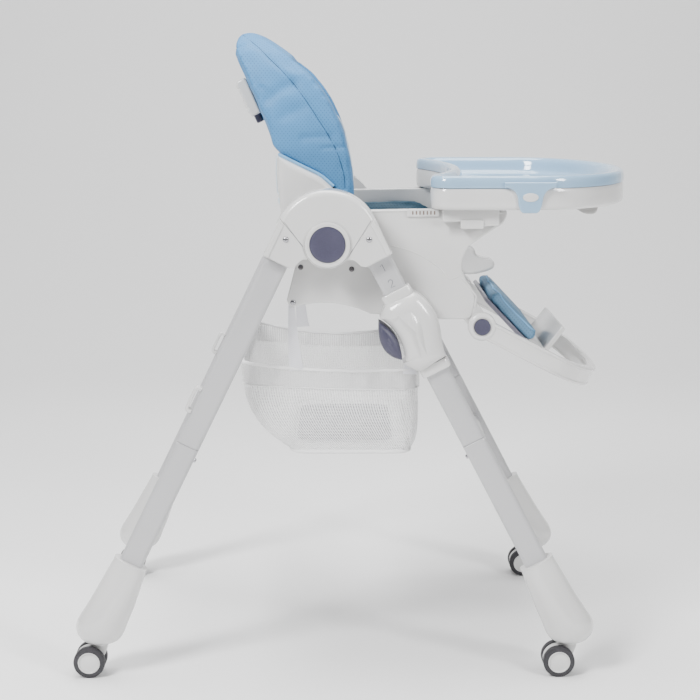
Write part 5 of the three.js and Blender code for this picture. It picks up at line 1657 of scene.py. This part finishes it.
def step(identifier, label, description, build):
    """Operator class that runs one builder."""

    def execute(self, context):
        build()
        return {"FINISHED"}

    return type(f"CHAIR_OT_{identifier}", (bpy.types.Operator,),
                {"bl_idname": f"chair.{identifier}", "bl_label": label, "__doc__": description,
                 "execute": execute})


class CHAIR_OT_finishes(bpy.types.Operator):
    """Make the materials from the chosen colours"""

    bl_idname = "chair.finishes"
    bl_label = "Materials"

    def execute(self, context):
        build_finishes(context.scene.chair_colours, context.scene.chair_sizes.perforation)
        return {"FINISHED"}


STEPS = [CHAIR_OT_finishes] + [step(*row) for row in (
    ("legs", "Legs", "Add the four leg tubes and their spreaders", build_legs),
    ("feet", "Feet", "Add the drop-shaped feet", build_feet),
    ("casters", "Casters", "Add the twin-wheel casters", build_casters),
    ("hub", "Hub", "Add the hub shells, sockets, screws and press faces", build_hub),
    ("slider", "Height slider", "Add the height sliders and their press faces", build_slider),
    ("panels", "Side panels", "Add the seat's side panels", build_panels),
    ("pan", "Seat pan", "Add the seat pan and the crotch guard", build_pan),
    ("back_shell", "Back shell", "Add the backrest's shell", build_back_shell),
    ("back_cushion", "Back cushion", "Add the padded back cover", build_back_cushion),
    ("seat_cushion", "Seat cushion", "Add the padded seat cover", build_seat_cushion),
    ("calf_pad", "Calf pad", "Add the padded calf rest", build_calf_pad),
    ("recline", "Recline handle", "Add the recline handle and its squeeze trigger", build_recline_handle),
    ("legrest", "Leg rest", "Add the leg rest's hoop, boards and press faces", build_legrest),
    ("tray", "Tray", "Add the tray's skirt, basin, badges and lever", build_tray),
    ("basket", "Basket", "Add the mesh basket with its piping and board", build_basket),
    ("straps", "Basket straps", "Add the straps that the basket hangs from", build_straps),
    ("harness", "Harness", "Add the five-point harness", build_harness),
    ("fittings", "Fittings", "Add the height marks, joint bolts and tray hooks", build_fittings),
    ("stage", "Stage", "Add the floor, the lights and the camera", build_stage),
)]


class CHAIR_PT_panel(bpy.types.Panel):
    """The chair's steps and colours"""

    bl_idname = "CHAIR_PT_panel"
    bl_label = "High chair"
    bl_space_type = "VIEW_3D"
    bl_region_type = "UI"
    bl_category = "High chair"

    def draw(self, context):
        for group in (context.scene.chair_colours, context.scene.chair_sizes):
            for name in group.bl_rna.properties.keys():
                if name not in ("name", "rna_type"):
                    self.layout.prop(group, name)
        for operator in STEPS:
            self.layout.operator(operator.bl_idname)


CLASSES = (ChairColours, ChairSizes, *STEPS, CHAIR_PT_panel)


def register():
    for each in CLASSES:
        bpy.utils.register_class(each)
    bpy.types.Scene.chair_colours = bpy.props.PointerProperty(type=ChairColours)
    bpy.types.Scene.chair_sizes = bpy.props.PointerProperty(type=ChairSizes)


def unregister():
    del bpy.types.Scene.chair_sizes
    del bpy.types.Scene.chair_colours
    for each in reversed(CLASSES):
        bpy.utils.unregister_class(each)


def main():
    register()
    for operator in STEPS:
        group, name = operator.bl_idname.split(".")
        if getattr(getattr(bpy.ops, group), name)() != {"FINISHED"}:
            raise RuntimeError(f"{operator.bl_idname} did not finish")


if __name__ == "__main__":
    main()
